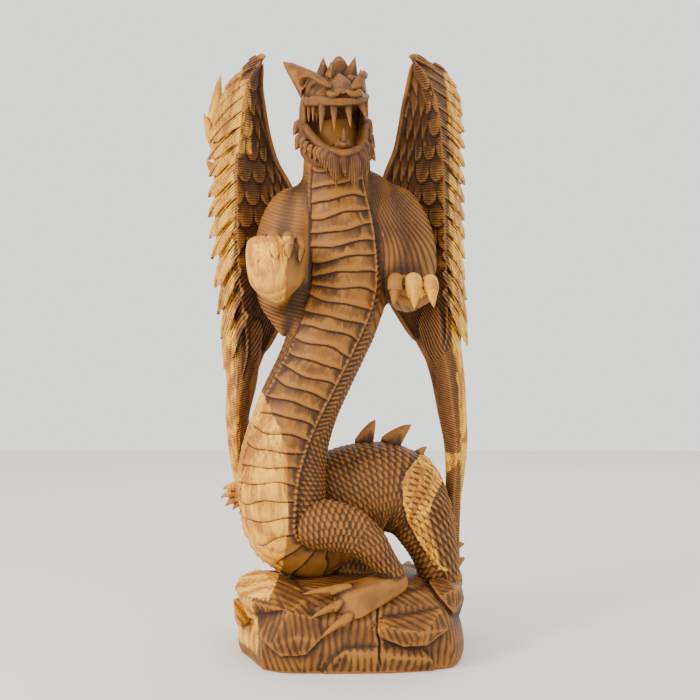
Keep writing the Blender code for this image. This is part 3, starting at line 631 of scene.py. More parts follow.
SAPWOOD = (
    # the lower belly's left half
    Zone((110, 150, 206, 270, 350, 382, 414, 438, 456), (-300,) * 9,
         (-130, -112, -101, -99, -101, -112, -128, -141, -168), -10),
    # the band down the tail at the right
    Zone((140, 150, 184, 220, 251, 289, 309, 330), (152, 140, 117, 97, 89, 86, 97, 120),
         (166, 150, 140, 134, 134, 158, 180, 190), 30),
    # the orb
    Zone((560, 600, 640, 690), (-300,) * 4, (-110, -102, -100, -92), -128, 5),
    # two claws of the open paw
    Zone((556, 590, 630, 648), (92, 92, 88, 96), (140,) * 4, -112),
    # the outer feathers
    Zone((200, 420, 560, 700, 860, 1000), (-300,) * 6, (-190, -190, -194, -194, -192, -180), 300, 16),
    Zone((200, 420, 560, 700, 860, 1000), (192, 186, 168, 166, 166, 160), (300,) * 6, 300, 10),
    # the three highest coverts of the left wing
    Zone((834, 850, 940, 956), (-196,) * 4, (-166,) * 4, 20, 4),
    # the left boulder's outer corner
    Zone((20, 60, 110), (-300,) * 3, (-150, -146, -160), 0, 12),
)


def sapwood_share(points: np.ndarray) -> np.ndarray:
    """How far each point, in millimetres, lies in sapwood, from 0 to 1."""
    return np.max([zone.share(points) for zone in SAPWOOD], axis=0)


def linear(colour: str) -> tuple[float, float, float, float]:
    """Turns an sRGB hex colour to linear values.

    Args:
        colour: such as "#A0784B".

    Returns:
        Red, green, blue and an alpha of 1.
    """
    shares = [int(colour[i:i + 2], 16) / 255 for i in (1, 3, 5)]
    values = [s / 12.92 if s <= 0.04045 else ((s + 0.055) / 1.055) ** 2.4 for s in shares]
    return (values[0], values[1], values[2], 1.0)


def add_node(
    tree: bpy.types.NodeTree,
    kind: str,
    inputs: dict[str | int, object] | None = None,
    **settings: object,
) -> bpy.types.Node:
    """Adds one node with its settings and links.

    Args:
        tree: where it goes.
        kind: the node's type name.
        inputs: for each input, by name or number, a value or the output that feeds it.
        settings: the node's own properties.

    Returns:
        The node.
    """
    made = tree.nodes.new(kind)
    for name, value in settings.items():
        setattr(made, name, value)
    for name, value in (inputs or {}).items():
        if isinstance(value, bpy.types.NodeSocket):
            tree.links.new(value, made.inputs[name])
        else:
            made.inputs[name].default_value = value
    return made


def add_math(tree: bpy.types.NodeTree, operation: str, *values: object) -> bpy.types.NodeSocket:
    """Adds a calculation on up to three values, and gives its result."""
    return add_node(tree, "ShaderNodeMath", dict(enumerate(values)), operation=operation).outputs[0]


def add_vector_math(tree: bpy.types.NodeTree, operation: str, inputs: dict) -> bpy.types.NodeSocket:
    """Adds a calculation on vectors, and gives its result."""
    return add_node(tree, "ShaderNodeVectorMath", inputs, operation=operation).outputs[0]


def add_mix(tree: bpy.types.NodeTree, share: object, first: object, second: object) -> bpy.types.NodeSocket:
    """Adds a mix of two colours, and gives the mixed colour."""
    return add_node(tree, "ShaderNodeMix", {0: share, 6: first, 7: second}, data_type="RGBA").outputs[2]


def add_noise(
    tree: bpy.types.NodeTree,
    place: bpy.types.NodeSocket,
    scale: float,
    detail: float,
    roughness: float = 0.5,
) -> bpy.types.NodeSocketCollection:
    """Adds soft noise.

    Args:
        tree: where it goes.
        place: the coordinates.
        scale: patches a metre.
        detail: how many finer layers it has.
        roughness: how strong those are.

    Returns:
        The node's outputs.
    """
    inputs = {"Vector": place, "Scale": scale, "Detail": detail, "Roughness": roughness}
    return add_node(tree, "ShaderNodeTexNoise", inputs).outputs


def add_range(
    tree: bpy.types.NodeTree,
    value: bpy.types.NodeSocket,
    source: tuple[float, float],
    target: tuple[float, float] = (0.0, 1.0),
    smooth: bool = False,
) -> bpy.types.NodeSocket:
    """Adds a change of scale.

    Args:
        tree: where it goes.
        value: what is changed.
        source: the two values that become the target's two.
        target: what they become.
        smooth: whether it eases in and out.

    Returns:
        The result.
    """
    low, high = source
    inputs = {"Value": value, "From Min": low, "From Max": high, "To Min": target[0], "To Max": target[1]}
    kind = "SMOOTHSTEP" if smooth else "LINEAR"
    return add_node(tree, "ShaderNodeMapRange", inputs, interpolation_type=kind).outputs[0]


def add_bump(
    tree: bpy.types.NodeTree,
    height: bpy.types.NodeSocket,
    strength: float,
    depth_mm: float,
    normal: bpy.types.NodeSocket | None = None,
) -> bpy.types.NodeSocket:
    """Adds fine relief.

    Args:
        tree: where it goes.
        height: the relief.
        strength: from 0 to 1.
        depth_mm: how deep it is at height 1.
        normal: the coarser relief under it.

    Returns:
        The changed normal.
    """
    inputs = {"Height": height, "Strength": strength, "Distance": depth_mm * MM}
    if normal is not None:
        inputs["Normal"] = normal
    return add_node(tree, "ShaderNodeBump", inputs).outputs[0]


@dataclass(frozen=True)
class OiledSuar:
    """Suar heartwood and sapwood, cut with gouges, sanded on the smooth parts and rubbed with oil.

    The eye sees brown heartwood with darker growth rings, honey sapwood with a soft border and long streaks
    up the log. Cuts and hollows are painted dark as shade, and edges are painted paler, partly as rubbed
    wear and partly as painted highlight.
    """

    name: str = "oiled_suar_wood"
    heart_dark: str = "#3A200A"
    heart_light: str = "#683F16"
    sap_dark: str = "#9E5F18"
    sap_light: str = "#FBBE3A"
    # painted shade: the dark colour that the hollows, the cuts and the fine cuts' furrows are mixed towards
    cut: str = "#241004"
    # the paler colour of the convex edges, partly rubbed wear and partly painted highlight
    worn_and_highlight: str = "#B97C30"
    ring_mm: float = 9.0  # between growth rings
    streak_mm: float = 5.0  # across one streak of grain
    pore_mm: float = 1.2  # suar's pores are about half this, and are drawn coarser so that they show
    streak_depth_mm: float = 0.9
    pore_depth_mm: float = 0.4
    cut_depth_mm: float = 1.0
    roughness: float = 0.68  # of the open grain
    polished: float = 0.5  # and of the dense grain
    index: float = 1.5  # of refraction
    sheen: float = 0.28

    def material(self) -> bpy.types.Material:
        """Makes the material's nodes.

        Returns:
            The material.
        """
        material = bpy.data.materials.new(self.name)
        material.use_nodes = True
        tree = material.node_tree
        shader = tree.nodes["Principled BSDF"]
        place = add_node(tree, "ShaderNodeTexCoord").outputs["Object"]
        cavity, hollow, sap, phase, strength = (
            add_node(tree, "ShaderNodeAttribute", attribute_name=name).outputs["Fac"]
            for name in ("cavity", "hollow", "sapwood", "cut_phase", "cut_strength")
        )

        # the log's rings, bent by slow noise
        sway = add_noise(tree, place, 5.0, 3.0)["Color"]
        lean = add_vector_math(tree, "SUBTRACT", {0: sway, 1: (0.5, 0.5, 0.5)})
        shift = add_vector_math(tree, "SCALE", {0: lean, "Scale": 0.09})
        bent = add_vector_math(tree, "ADD", {0: place, 1: shift})
        log = add_node(tree, "ShaderNodeMapping", {
            "Vector": bent, "Location": (0.03, -0.16, 0.0),
            "Rotation": (math.radians(9), math.radians(-7), 0.0),
        }).outputs[0]
        rings = add_node(tree, "ShaderNodeTexWave", {
            "Vector": log, "Scale": 1 / (self.ring_mm * MM) / 20 * math.pi, "Distortion": 1.2,
            "Detail": 2.0, "Detail Scale": 1.5,
        }, wave_type="RINGS", rings_direction="Z", wave_profile="SIN").outputs["Fac"]

        # grain and pores, drawn out up the log
        long, longer = (
            add_node(tree, "ShaderNodeMapping", {"Vector": bent, "Scale": (1.0, 1.0, share)}).outputs[0]
            for share in (0.12, 0.055)
        )
        pores = add_noise(tree, long, 1 / (self.pore_mm * MM), 2.0)["Fac"]
        streaks = add_noise(tree, longer, 1 / (self.streak_mm * MM), 5.0, 0.62)["Fac"]
        clouds = add_noise(tree, place, 13.0, 4.0)["Fac"]
        figure = add_math(tree, "MULTIPLY_ADD", rings, 0.2, streaks)
        figure = add_math(tree, "MULTIPLY_ADD", pores, 0.4, figure)
        figure = add_math(tree, "MULTIPLY_ADD", clouds, 0.7, figure)
        tone = add_range(tree, figure, (0.88, 1.42))
        patches = add_range(tree, figure, (1.0, 1.3))
        heart = add_mix(tree, tone, linear(self.heart_dark), linear(self.heart_light))
        pale = add_mix(tree, patches, linear(self.sap_dark), linear(self.sap_light))

        # the border between sapwood and heartwood follows the grain
        wander = add_math(tree, "SUBTRACT", streaks, 0.5)
        wander = add_math(tree, "MULTIPLY_ADD", wander, 1.3, sap)
        colour = add_mix(tree, add_range(tree, wander, (0.3, 0.7), smooth=True), heart, pale)

        # edges painted pale, partly as rubbed wear and partly as painted highlight,
        # then painted shade in the hollows, in the cuts and in the rows of fine cuts
        rubbed = add_range(tree, cavity, (-0.08, -0.7), (0.0, 0.5))
        colour = add_mix(tree, rubbed, colour, linear(self.worn_and_highlight))
        turn = add_math(tree, "MULTIPLY", phase, math.pi)
        ridges = add_math(tree, "ABSOLUTE", add_math(tree, "SINE", turn))
        # painted shade in the furrows of the fine cuts, as strong as the cuts' strength
        furrow_shade = add_range(tree, ridges, (0.55, 0.05), (0.0, 0.8), smooth=True)
        # painted shade: darker in the wide hollows, in the narrow cuts and in the furrows of the fine cuts
        painted_shade_shares = (
            add_range(tree, hollow, (0.6, 7.0), (0.0, 0.3)),
            add_range(tree, cavity, (0.02, 0.55), (0.0, 0.82)),
            add_math(tree, "MULTIPLY", furrow_shade, strength),
        )
        for share in painted_shade_shares:
            colour = add_mix(tree, share, colour, linear(self.cut))
        tree.links.new(colour, shader.inputs["Base Color"])

        gloss = add_range(tree, streaks, (0.3, 0.7), (self.polished, self.roughness))
        tree.links.new(gloss, shader.inputs["Roughness"])
        shader.inputs["IOR"].default_value = self.index
        shader.inputs["Specular IOR Level"].default_value = self.sheen
        normal = add_bump(tree, streaks, 0.22, self.streak_depth_mm)
        normal = add_bump(tree, pores, 0.25, self.pore_depth_mm, normal)
        carved = add_math(tree, "MULTIPLY", ridges, strength)
        normal = add_bump(tree, carved, 0.6, self.cut_depth_mm, normal)
        tree.links.new(normal, shader.inputs["Normal"])
        return material


@dataclass
class Carving:
    """One sub-assembly of the carving: closed skins that are fused, carved further and dressed."""

    name: str
    grid_mm: float = 1.4
    budget: int = 160_000
    cut_depth: float = 1.0  # millimetres

    def skins(self) -> list[Skin]:
        """The closed skins that it is made of."""
        raise NotImplementedError

    def blend(self, points: np.ndarray, near: Neighbours) -> np.ndarray:
        """Smooths the joins between its skins, where it has some that shouldn't show.

        Args:
            points: in millimetres.
            near: which of them are joined.

        Returns:
            The moved points.
        """
        return points

    def chisel(self, points: np.ndarray) -> np.ndarray:
        """Further lift along the normals, in millimetres, once the skins are one surface."""
        return np.zeros(len(points))

    def cuts(self, points: np.ndarray, facing: np.ndarray) -> Cuts:
        """The rows of fine cuts on it.

        Args:
            points: in millimetres.
            facing: the normals at the points, smoothed.

        Returns:
            The cuts, none unless a sub-assembly says otherwise.
        """
        return Cuts(points[:, 2], np.zeros(len(points)))

    def build(self) -> bpy.types.Object:
        """Fuses the skins into one mesh within the budget.

        Returns:
            The piece, in the scene.
        """
        points, faces, used = [], [], 0
        for skin in self.skins():
            points.append(skin.points)
            faces.append(skin.faces + used)
            used += len(skin.points)
        mesh = write_mesh(self.name, np.concatenate(points), np.concatenate(faces))
        made = bpy.data.objects.new(self.name, mesh)
        bpy.context.scene.collection.objects.link(made)
        grid = self.grid_mm
        with_modifier(made, "REMESH", mode="VOXEL", voxel_size=grid * MM)
        drop_specks(made.data)
        near = Neighbours.of(made.data)
        points = self.blend(read_points(made.data) / MM, near)
        move_points(made.data, points * MM)
        normals = read_points(made.data, normals=True)
        cuts = self.cuts(points, near.smoothed(normals, FACING_ROUNDS))
        lift = self.chisel(points) + cuts.lift(self.cut_depth)
        move_points(made.data, (points + lift[:, None] * normals) * MM)
        triangles = len(read_triangles(made.data))
        if triangles > self.budget:
            with_modifier(made, "DECIMATE", ratio=self.budget / triangles, use_collapse_triangulate=True)
        made.data.polygons.foreach_set("use_smooth", np.ones(len(made.data.polygons), bool))
        move_points(made.data, np.clip(read_points(made.data), CAD_LOW, CAD_HIGH))
        return made

    def dress(self, made: bpy.types.Object, wood: bpy.types.Material) -> None:
        """Gives the piece its wood, and measures the hollows, where shade is painted dark, and the edges,
        painted pale partly as rubbed wear and partly as painted highlight.

        Args:
            made: the piece.
            wood: its material.
        """
        mesh = made.data
        near = Neighbours.of(mesh)
        points, normals = read_points(mesh) / MM, read_points(mesh, normals=True)
        cuts = self.cuts(points, near.smoothed(normals, FACING_ROUNDS))
        little = near.smoothed(points, CAVITY_ROUNDS)
        much = near.smoothed(little, HOLLOW_ROUNDS)
        values = {
            "cavity": ((little - points) * normals).sum(axis=1),
            "hollow": ((much - points) * normals).sum(axis=1),
            "sapwood": sapwood_share(points),
            "cut_phase": cuts.phase,
            "cut_strength": cuts.strength,
        }
        for name, value in values.items():
            layer = mesh.attributes.new(name, "FLOAT", "POINT")
            layer.data.foreach_set("value", value.astype(np.float32))
        mesh.materials.clear()
        mesh.materials.append(wood)


@dataclass
class Rock(Carving):
    """The rounded block of rock and the facetted stones that break out of it, cut with a broad gouge."""

    name: str = "rock"
    grid_mm: float = 1.7
    budget: int = 90_000
    cut_depth: float = 3.4
    flute_mm: float = 11.0
    flute_strength: float = 0.2
    plan: Rows = (
        (-141, -148), (-113, -166), (-47, -171), (30, -166), (128, -150), (162, -138), (183, -86),
        (190, -20), (188, 40), (176, 96), (140, 138), (60, 152), (-60, 150), (-130, 132), (-172, 84),
        (-189, 20), (-186, -26), (-164, -86),
    )
    middle: tuple[float, float] = (0.0, -10.0)
    levels: Rows = (
        (0, 0.985), (8, 1.0), (34, 1.0), (62, 0.96), (84, 0.91), (102, 0.82), (118, 0.68), (128, 0.5),
        (132, 0.25),
    )
    stones: Sequence[Rows] = (
        ((-190, -80, 118), (-181, -60, 134), (-155, -50, 143), (-132, -88, 139), (-101, -60, 131),
         (-174, -116, 106), (-117, -158, 101), (-100, -160, 99), (-165, -106, 74), (-115, -130, 70),
         (-150, 20, 122), (-100, 0, 122), (-186, 0, 100)),
        ((-132, -88, 138), (-86, -178, 60), (-98, -166, 98), (-126, -172, 42), (-108, -176, 28),
         (-70, -178, 31), (-48, -172, 52), (-30, -154, 78), (-54, -118, 116), (-101, -60, 130),
         (-152, -140, 58), (-160, -110, 90)),
        ((34, -172, 70), (52, -172, 76), (116, -176, 66), (123, -156, 78), (147, -128, 92),
         (158, -148, 66), (122, -172, 46), (84, -172, 44), (46, -168, 58), (60, -110, 104),
         (140, -90, 100), (100, -120, 30)),
        ((146, -104, 108), (176, -84, 118), (190, -60, 96), (188, -10, 112), (150, -20, 130),
         (168, -112, 84), (186, -20, 60), (130, -60, 124), (160, -60, 50)),
        ((-30, -172, 22), (-10, -175, 35), (42, -174, 32), (80, -172, 26), (132, -162, 20),
         (-44, -172, 0), (136, -152, 0), (60, -168, 0), (0, -150, 60), (100, -150, 50)),
        ((-196, -40, 92), (-190, -84, 70), (-178, -106, 60), (-188, -40, 44), (-150, -40, 60),
         (-190, 10, 84)),
        ((-150, 60, 120), (-182, 30, 96), (-166, 106, 78), (-100, 150, 64), (-60, 110, 112),
         (-190, 50, 40), (-120, 146, 24), (-60, 60, 60)),
        ((60, 100, 106), (120, 110, 100), (186, 60, 92), (160, 118, 60), (90, 152, 30), (150, 20, 118),
         (40, 60, 60), (20, 150, 60)),
    )
    crack_x: float = 45.0
    crack_heights: tuple[float, float] = (10.0, 120.0)
    crack_mm: tuple[float, float] = (1.5, 4.0)  # its half width and depth
    crack_back: float = -60.0

    def skins(self) -> list[Skin]:
        """The block, rounded over its top, and its stones."""
        middle = np.array(self.middle)
        outline = [(x, y, 0.0) for x, y in (*self.plan, self.plan[0])]
        outline = smooth_rows(outline, 241)[:-1, :2]
        levels = smooth_rows([(0.0, 0.0, z, k) for z, k in self.levels], 60)
        levels[:, 2] = np.maximum(levels[:, 2], 0.0)
        rings = [
            np.column_stack([middle + (outline - middle) * share, np.full(len(outline), z)])
            for _, _, z, share in levels
        ]
        block = closed_skin(np.array(rings)[:, ::-1] * THOUSANDTH)
        return [block] + [stone(corners) for corners in self.stones]

    def chisel(self, points: np.ndarray) -> np.ndarray:
        """One drying crack down the front."""
        x, y, z = points.T
        wander = 2.5 * np.sin(z / 17) + 1.2 * np.sin(z / 6.3)
        width, depth = self.crack_mm
        crack = np.exp(-(((x - self.crack_x - wander) / width) ** 2)) * (y < self.crack_back)
        low, high = self.crack_heights
        return -depth * crack * soft_step(z, low, low + 12) * soft_step(-z, -high, -high + 25)

    def cuts(self, points: np.ndarray, facing: np.ndarray) -> Cuts:
        """Flutes that run down each steep face, and across the level ones."""
        x, y, z = points.T
        turn = np.round(np.arctan2(facing[:, 1], facing[:, 0]) / (math.pi / 5)) * (math.pi / 5)
        steep = y * np.cos(turn) - x * np.sin(turn) + z * 0.35 * np.sin(2.3 * turn)
        level = 0.9 * y + 0.45 * x
        way = np.where(np.abs(facing[:, 2]) < 0.72, steep, level)
        phase = (way + 2.0 * np.sin((x + y) / 19 + z / 13)) / self.flute_mm
        return Cuts(phase, self.flute_strength * soft_step(z, 1.0, 6.0))


@dataclass
class Torso(Carving):
    """Neck, breast and belly in one curve, with both arms, the orb and the nape's spines."""

    name: str = "torso"
    grid_mm: float = 1.35
    budget: int = 190_000
    path: Rows = (
        (-27, -46, 905, 40, 28), (-25, -60, 840, 49, 45), (-21, -55, 771, 60, 54),
        (-13, -50, 689, 72, 62), (-11, -52, 606, 74, 64), (-25, -56, 557, 71, 62),
        (-40, -60, 516, 67, 60), (-61, -62, 467, 65, 60), (-82, -64, 422, 66, 61),
        (-98, -66, 377, 68, 62), (-110, -66, 328, 72, 64), (-112, -62, 266, 74, 66),
        (-104, -50, 212, 68, 62), (-70, -30, 180, 58, 55), (-15, 0, 178, 46, 46),
    )
    belly_turns: Sequence[float] = (0.0, 0.0, 0.02, 0.12, 0.32, 0.45)
    plates: int = 33
    plate_band: float = 0.78  # radians either side of the belly's middle
    plate_step: float = 3.6
    rib_mm: float = 8.5
    cut_depth: float = 1.7
    fur_mm: float = 6.2
    fan_strength: float = 0.42
    blend_rounds: int = 110
    quick_rounds: int = 20
    throat_share: tuple[float, float] = (0.11, 0.13)  # where the plates come out from under the beard
    bead_heights: Sequence[float] = (530, 557, 606, 689, 771, 840)  # the right bead's place, at each height
    bead_line: Sequence[float] = (12, 25, 41, 37, 21, 10)
    crease_line: float = -68.0  # and the left crease's
    spine_mm: float = 11.0
    left_shoulder: Rows = (
        (-58, -20, 778, 28, 32), (-86, -28, 736, 50, 46), (-104, -34, 682, 54, 52),
        (-108, -42, 624, 50, 48), (-106, -46, 572, 42, 42), (-108, -46, 530, 24, 30),
    )
    left_forearm: Rows = (
        (-112, -44, 590, 34, 34), (-118, -74, 600, 32, 30), (-118, -104, 628, 28, 27),
        (-116, -122, 650, 26, 26),
    )
    left_breast: Rows = (
        (-44, -34, 804, 20, 26), (-62, -42, 760, 34, 40), (-76, -46, 700, 46, 48),
        (-84, -48, 640, 48, 49), (-84, -46, 585, 42, 44), (-84, -44, 540, 26, 32),
    )
    orb: Rows = (
        (-114, -138, 692, 42, 33), (-116, -140, 676, 47, 38), (-117, -141, 645, 47, 40),
        (-116, -139, 610, 39, 35), (-114, -136, 586, 25, 25),
    )
    orb_fingers: Sequence[Blade] = (
        ((-146, -142, 684), (-144, -180, 648), 9), ((-122, -146, 690), (-114, -192, 650), 12),
        ((-98, -146, 690), (-94, -188, 652), 10), ((-80, -138, 684), (-78, -174, 648), 9),
    )
    right_shoulder: Rows = (
        (38, -20, 780, 28, 32), (66, -26, 740, 48, 46), (90, -28, 684, 52, 50), (98, -34, 622, 44, 46),
        (96, -38, 574, 28, 34),
    )
    right_breast: Rows = (
        (32, -32, 804, 20, 26), (46, -40, 760, 32, 38), (58, -44, 700, 42, 45), (66, -44, 640, 44, 45),
        (68, -42, 590, 34, 38),
    )
    right_forearm: Rows = (
        (92, -34, 606, 34, 34), (92, -62, 600, 32, 30), (97, -88, 604, 34, 26), (100, -106, 610, 38, 20),
        (100, -120, 614, 36, 14),
    )
    paw_fingers: Sequence[Blade] = (
        ((74, -112, 624), (69, -140, 579), 13), ((101, -118, 624), (102, -146, 576), 14),
        ((127, -112, 622), (133, -140, 577), 13),
    )
    nape_spines: Sequence[Blade] = (
        ((-34, -40, 872), (-62, 14, 880), 14), ((-36, -34, 834), (-72, 28, 842), 15),
        ((-34, -26, 798), (-76, 36, 800), 15), ((-30, -20, 756), (-60, 52, 750), 16),
        ((-24, -14, 706), (-40, 62, 694), 17), ((-24, -14, 650), (-32, 64, 634), 17),
        ((-30, -18, 592), (-30, 60, 572), 17), ((-48, -22, 536), (-38, 56, 514), 17),
        ((-70, -24, 482), (-52, 54, 462), 17), ((-88, -26, 430), (-66, 50, 412), 16),
        ((-98, -26, 376), (-72, 50, 362), 16), ((-98, -14, 322), (-62, 66, 322), 16),
    )

    def facing(self, count: int) -> np.ndarray:
        """Where the belly faces at each of count rows down the torso."""
        share = np.linspace(0.0, 1.0, len(self.belly_turns))
        angle = np.interp(np.linspace(0.0, 1.0, count), share, self.belly_turns) * math.pi / 2
        return np.column_stack([-np.sin(angle), -np.cos(angle), np.zeros(count)])

    def hide(self, surface: Surface) -> np.ndarray:
        """Belly plates between a crease and a bead, with ribs and scales down the sides."""
        share, offset, along = surface.share, surface.offset, surface.along
        index = share * self.plates
        wave = 0.16 * np.sin(2.9 * offset + 0.7 * np.sin(index * 1.3))
        wave = wave + 0.05 * np.sin(7 * offset + 2 * index)
        phase = (index + wave) % 1.0
        swell = np.where(phase < 0.93, phase / 0.93, 1 - ((phase - 0.93) / 0.07) ** 2)
        plate = self.plate_step * (swell - 0.45)
        crease = -2.2 * np.exp(-((np.minimum(phase, 1 - phase) / 0.035) ** 2))
        plate = (plate + crease) * np.clip((0.97 - share) * 20, 0.0, 1.0)
        inside = 1.0 / (1.0 + np.exp((np.abs(offset) - self.plate_band) / 0.02))

        bead = 4.8 * np.exp(-(((offset - self.plate_band) / 0.042) ** 2))
        toothed = 0.7 + 0.3 * np.cos(2 * math.pi * along / self.rib_mm)
        bead = bead * np.where(share < 0.36, 0.75, toothed)
        left_bead = 4.0 * toothed * np.exp(-(((offset + self.plate_band) / 0.05) ** 2))
        left_bead = left_bead * soft_step(share, 0.45, 0.55)
        crease = -2.6 * np.exp(-(((offset + self.plate_band + 0.02) / 0.04) ** 2))
        crease = crease * (1 - soft_step(share, 0.45, 0.55))

        outward = np.clip(np.abs(offset) - self.plate_band - 0.06, 0.0, None)
        ribs = grooves((along + 26 * outward) / self.rib_mm, 3.4, 0.8)
        ribbed = np.exp(-((outward / 0.36) ** 4)) * (offset > 0)
        ribbed = ribbed * soft_step(share, 0.26, 0.32) * (1 - soft_step(share, 0.62, 0.68))
        lying = scales(surface, heading=math.radians(-62))
        hanging = scales(surface, heading=math.radians(10), depth=3.2)
        scaly = np.where(offset > 0, lying, hanging) * soft_step(share, 0.34, 0.44)
        rings = grooves((along + 6 * np.sin(3 * offset)) / 7.5, 0.45) * (1 - soft_step(share, 0.34, 0.44))
        side = ribs * ribbed + (scaly + rings) * (1 - ribbed)
        edges = bead + left_bead + crease + side * (1 - inside)
        edges = edges * np.clip((0.985 - share) * 20, 0.0, 1.0)
        return (plate * inside + edges) * soft_step(share, *self.throat_share)

    def arm_share(self, points: np.ndarray) -> np.ndarray:
        """How far each point is on a shoulder or upper arm, from 0 to 1."""
        x, y, z = points.T
        right = soft_step(x - np.interp(z, self.bead_heights, self.bead_line), 7.0, 15.0)
        left = soft_step(self.crease_line - x, 0.0, 9.0)
        level = soft_step(z, 530, 560) * (1 - soft_step(z, 800, 815))
        return np.maximum(left, right) * level * soft_step(y, -102, -86) * (1 - soft_step(y, 5, 20))

    def blend(self, points: np.ndarray, near: Neighbours) -> np.ndarray:
        """Smooths the joins of neck, breast and arms."""
        share = self.arm_share(points)[:, None]
        for _ in range(self.blend_rounds):
            points = points + (near.mean(points) - points) * share
        return points

    def cuts(self, points: np.ndarray, facing: np.ndarray) -> Cuts:
        """Long cuts that fan out over the right shoulder, and faint ones round the left arm."""
        x, _, z = points.T
        fan = np.arctan2(x - 20, 830 - z) * 130 + 4 * np.sin(z / 23)
        rings = z + 0.35 * x + 5 * np.sin(x / 26)
        right = x > -20
        strength = np.where(right, self.fan_strength, 0.16 + 0.3 * soft_step(-z, -640, -600))
        return Cuts(np.where(right, fan, rings) / self.fur_mm, strength * self.arm_share(points))

    def skins(self) -> list[Skin]:
        """The torso, then the arms and what they hold, then the nape's spines."""
        count = int(860 / pitch_mm())
        rows = smooth_rows(self.path, count) * THOUSANDTH
        sides = int(460 / pitch_mm())
        skins = [
            loft(rows, self.facing(count), sides, relief=self.hide),
            limb(self.left_shoulder, ends=(0.2, 0.25)),
            limb(self.left_forearm, ends=(0.1, 0.2)),
            limb(self.left_breast, ends=(0.2, 0.25)),
            limb(self.right_breast, ends=(0.2, 0.25)),
            limb(self.orb, ends=(0.16, 0.35)),
            limb(self.right_shoulder, ends=(0.2, 0.25)),
            limb(self.right_forearm, ends=(0.1, 0.25)),
        ]
        skins += clawed(self.orb_fingers, knuckle=(0, -6, 2))
        skins += clawed(self.paw_fingers, knuckle=(0, -6, 2))
        return skins + [
            blade(shape, self.spine_mm, TO_RIGHT, bend=(0, 0, 4), belly=0.15) for shape in self.nape_spines
        ]


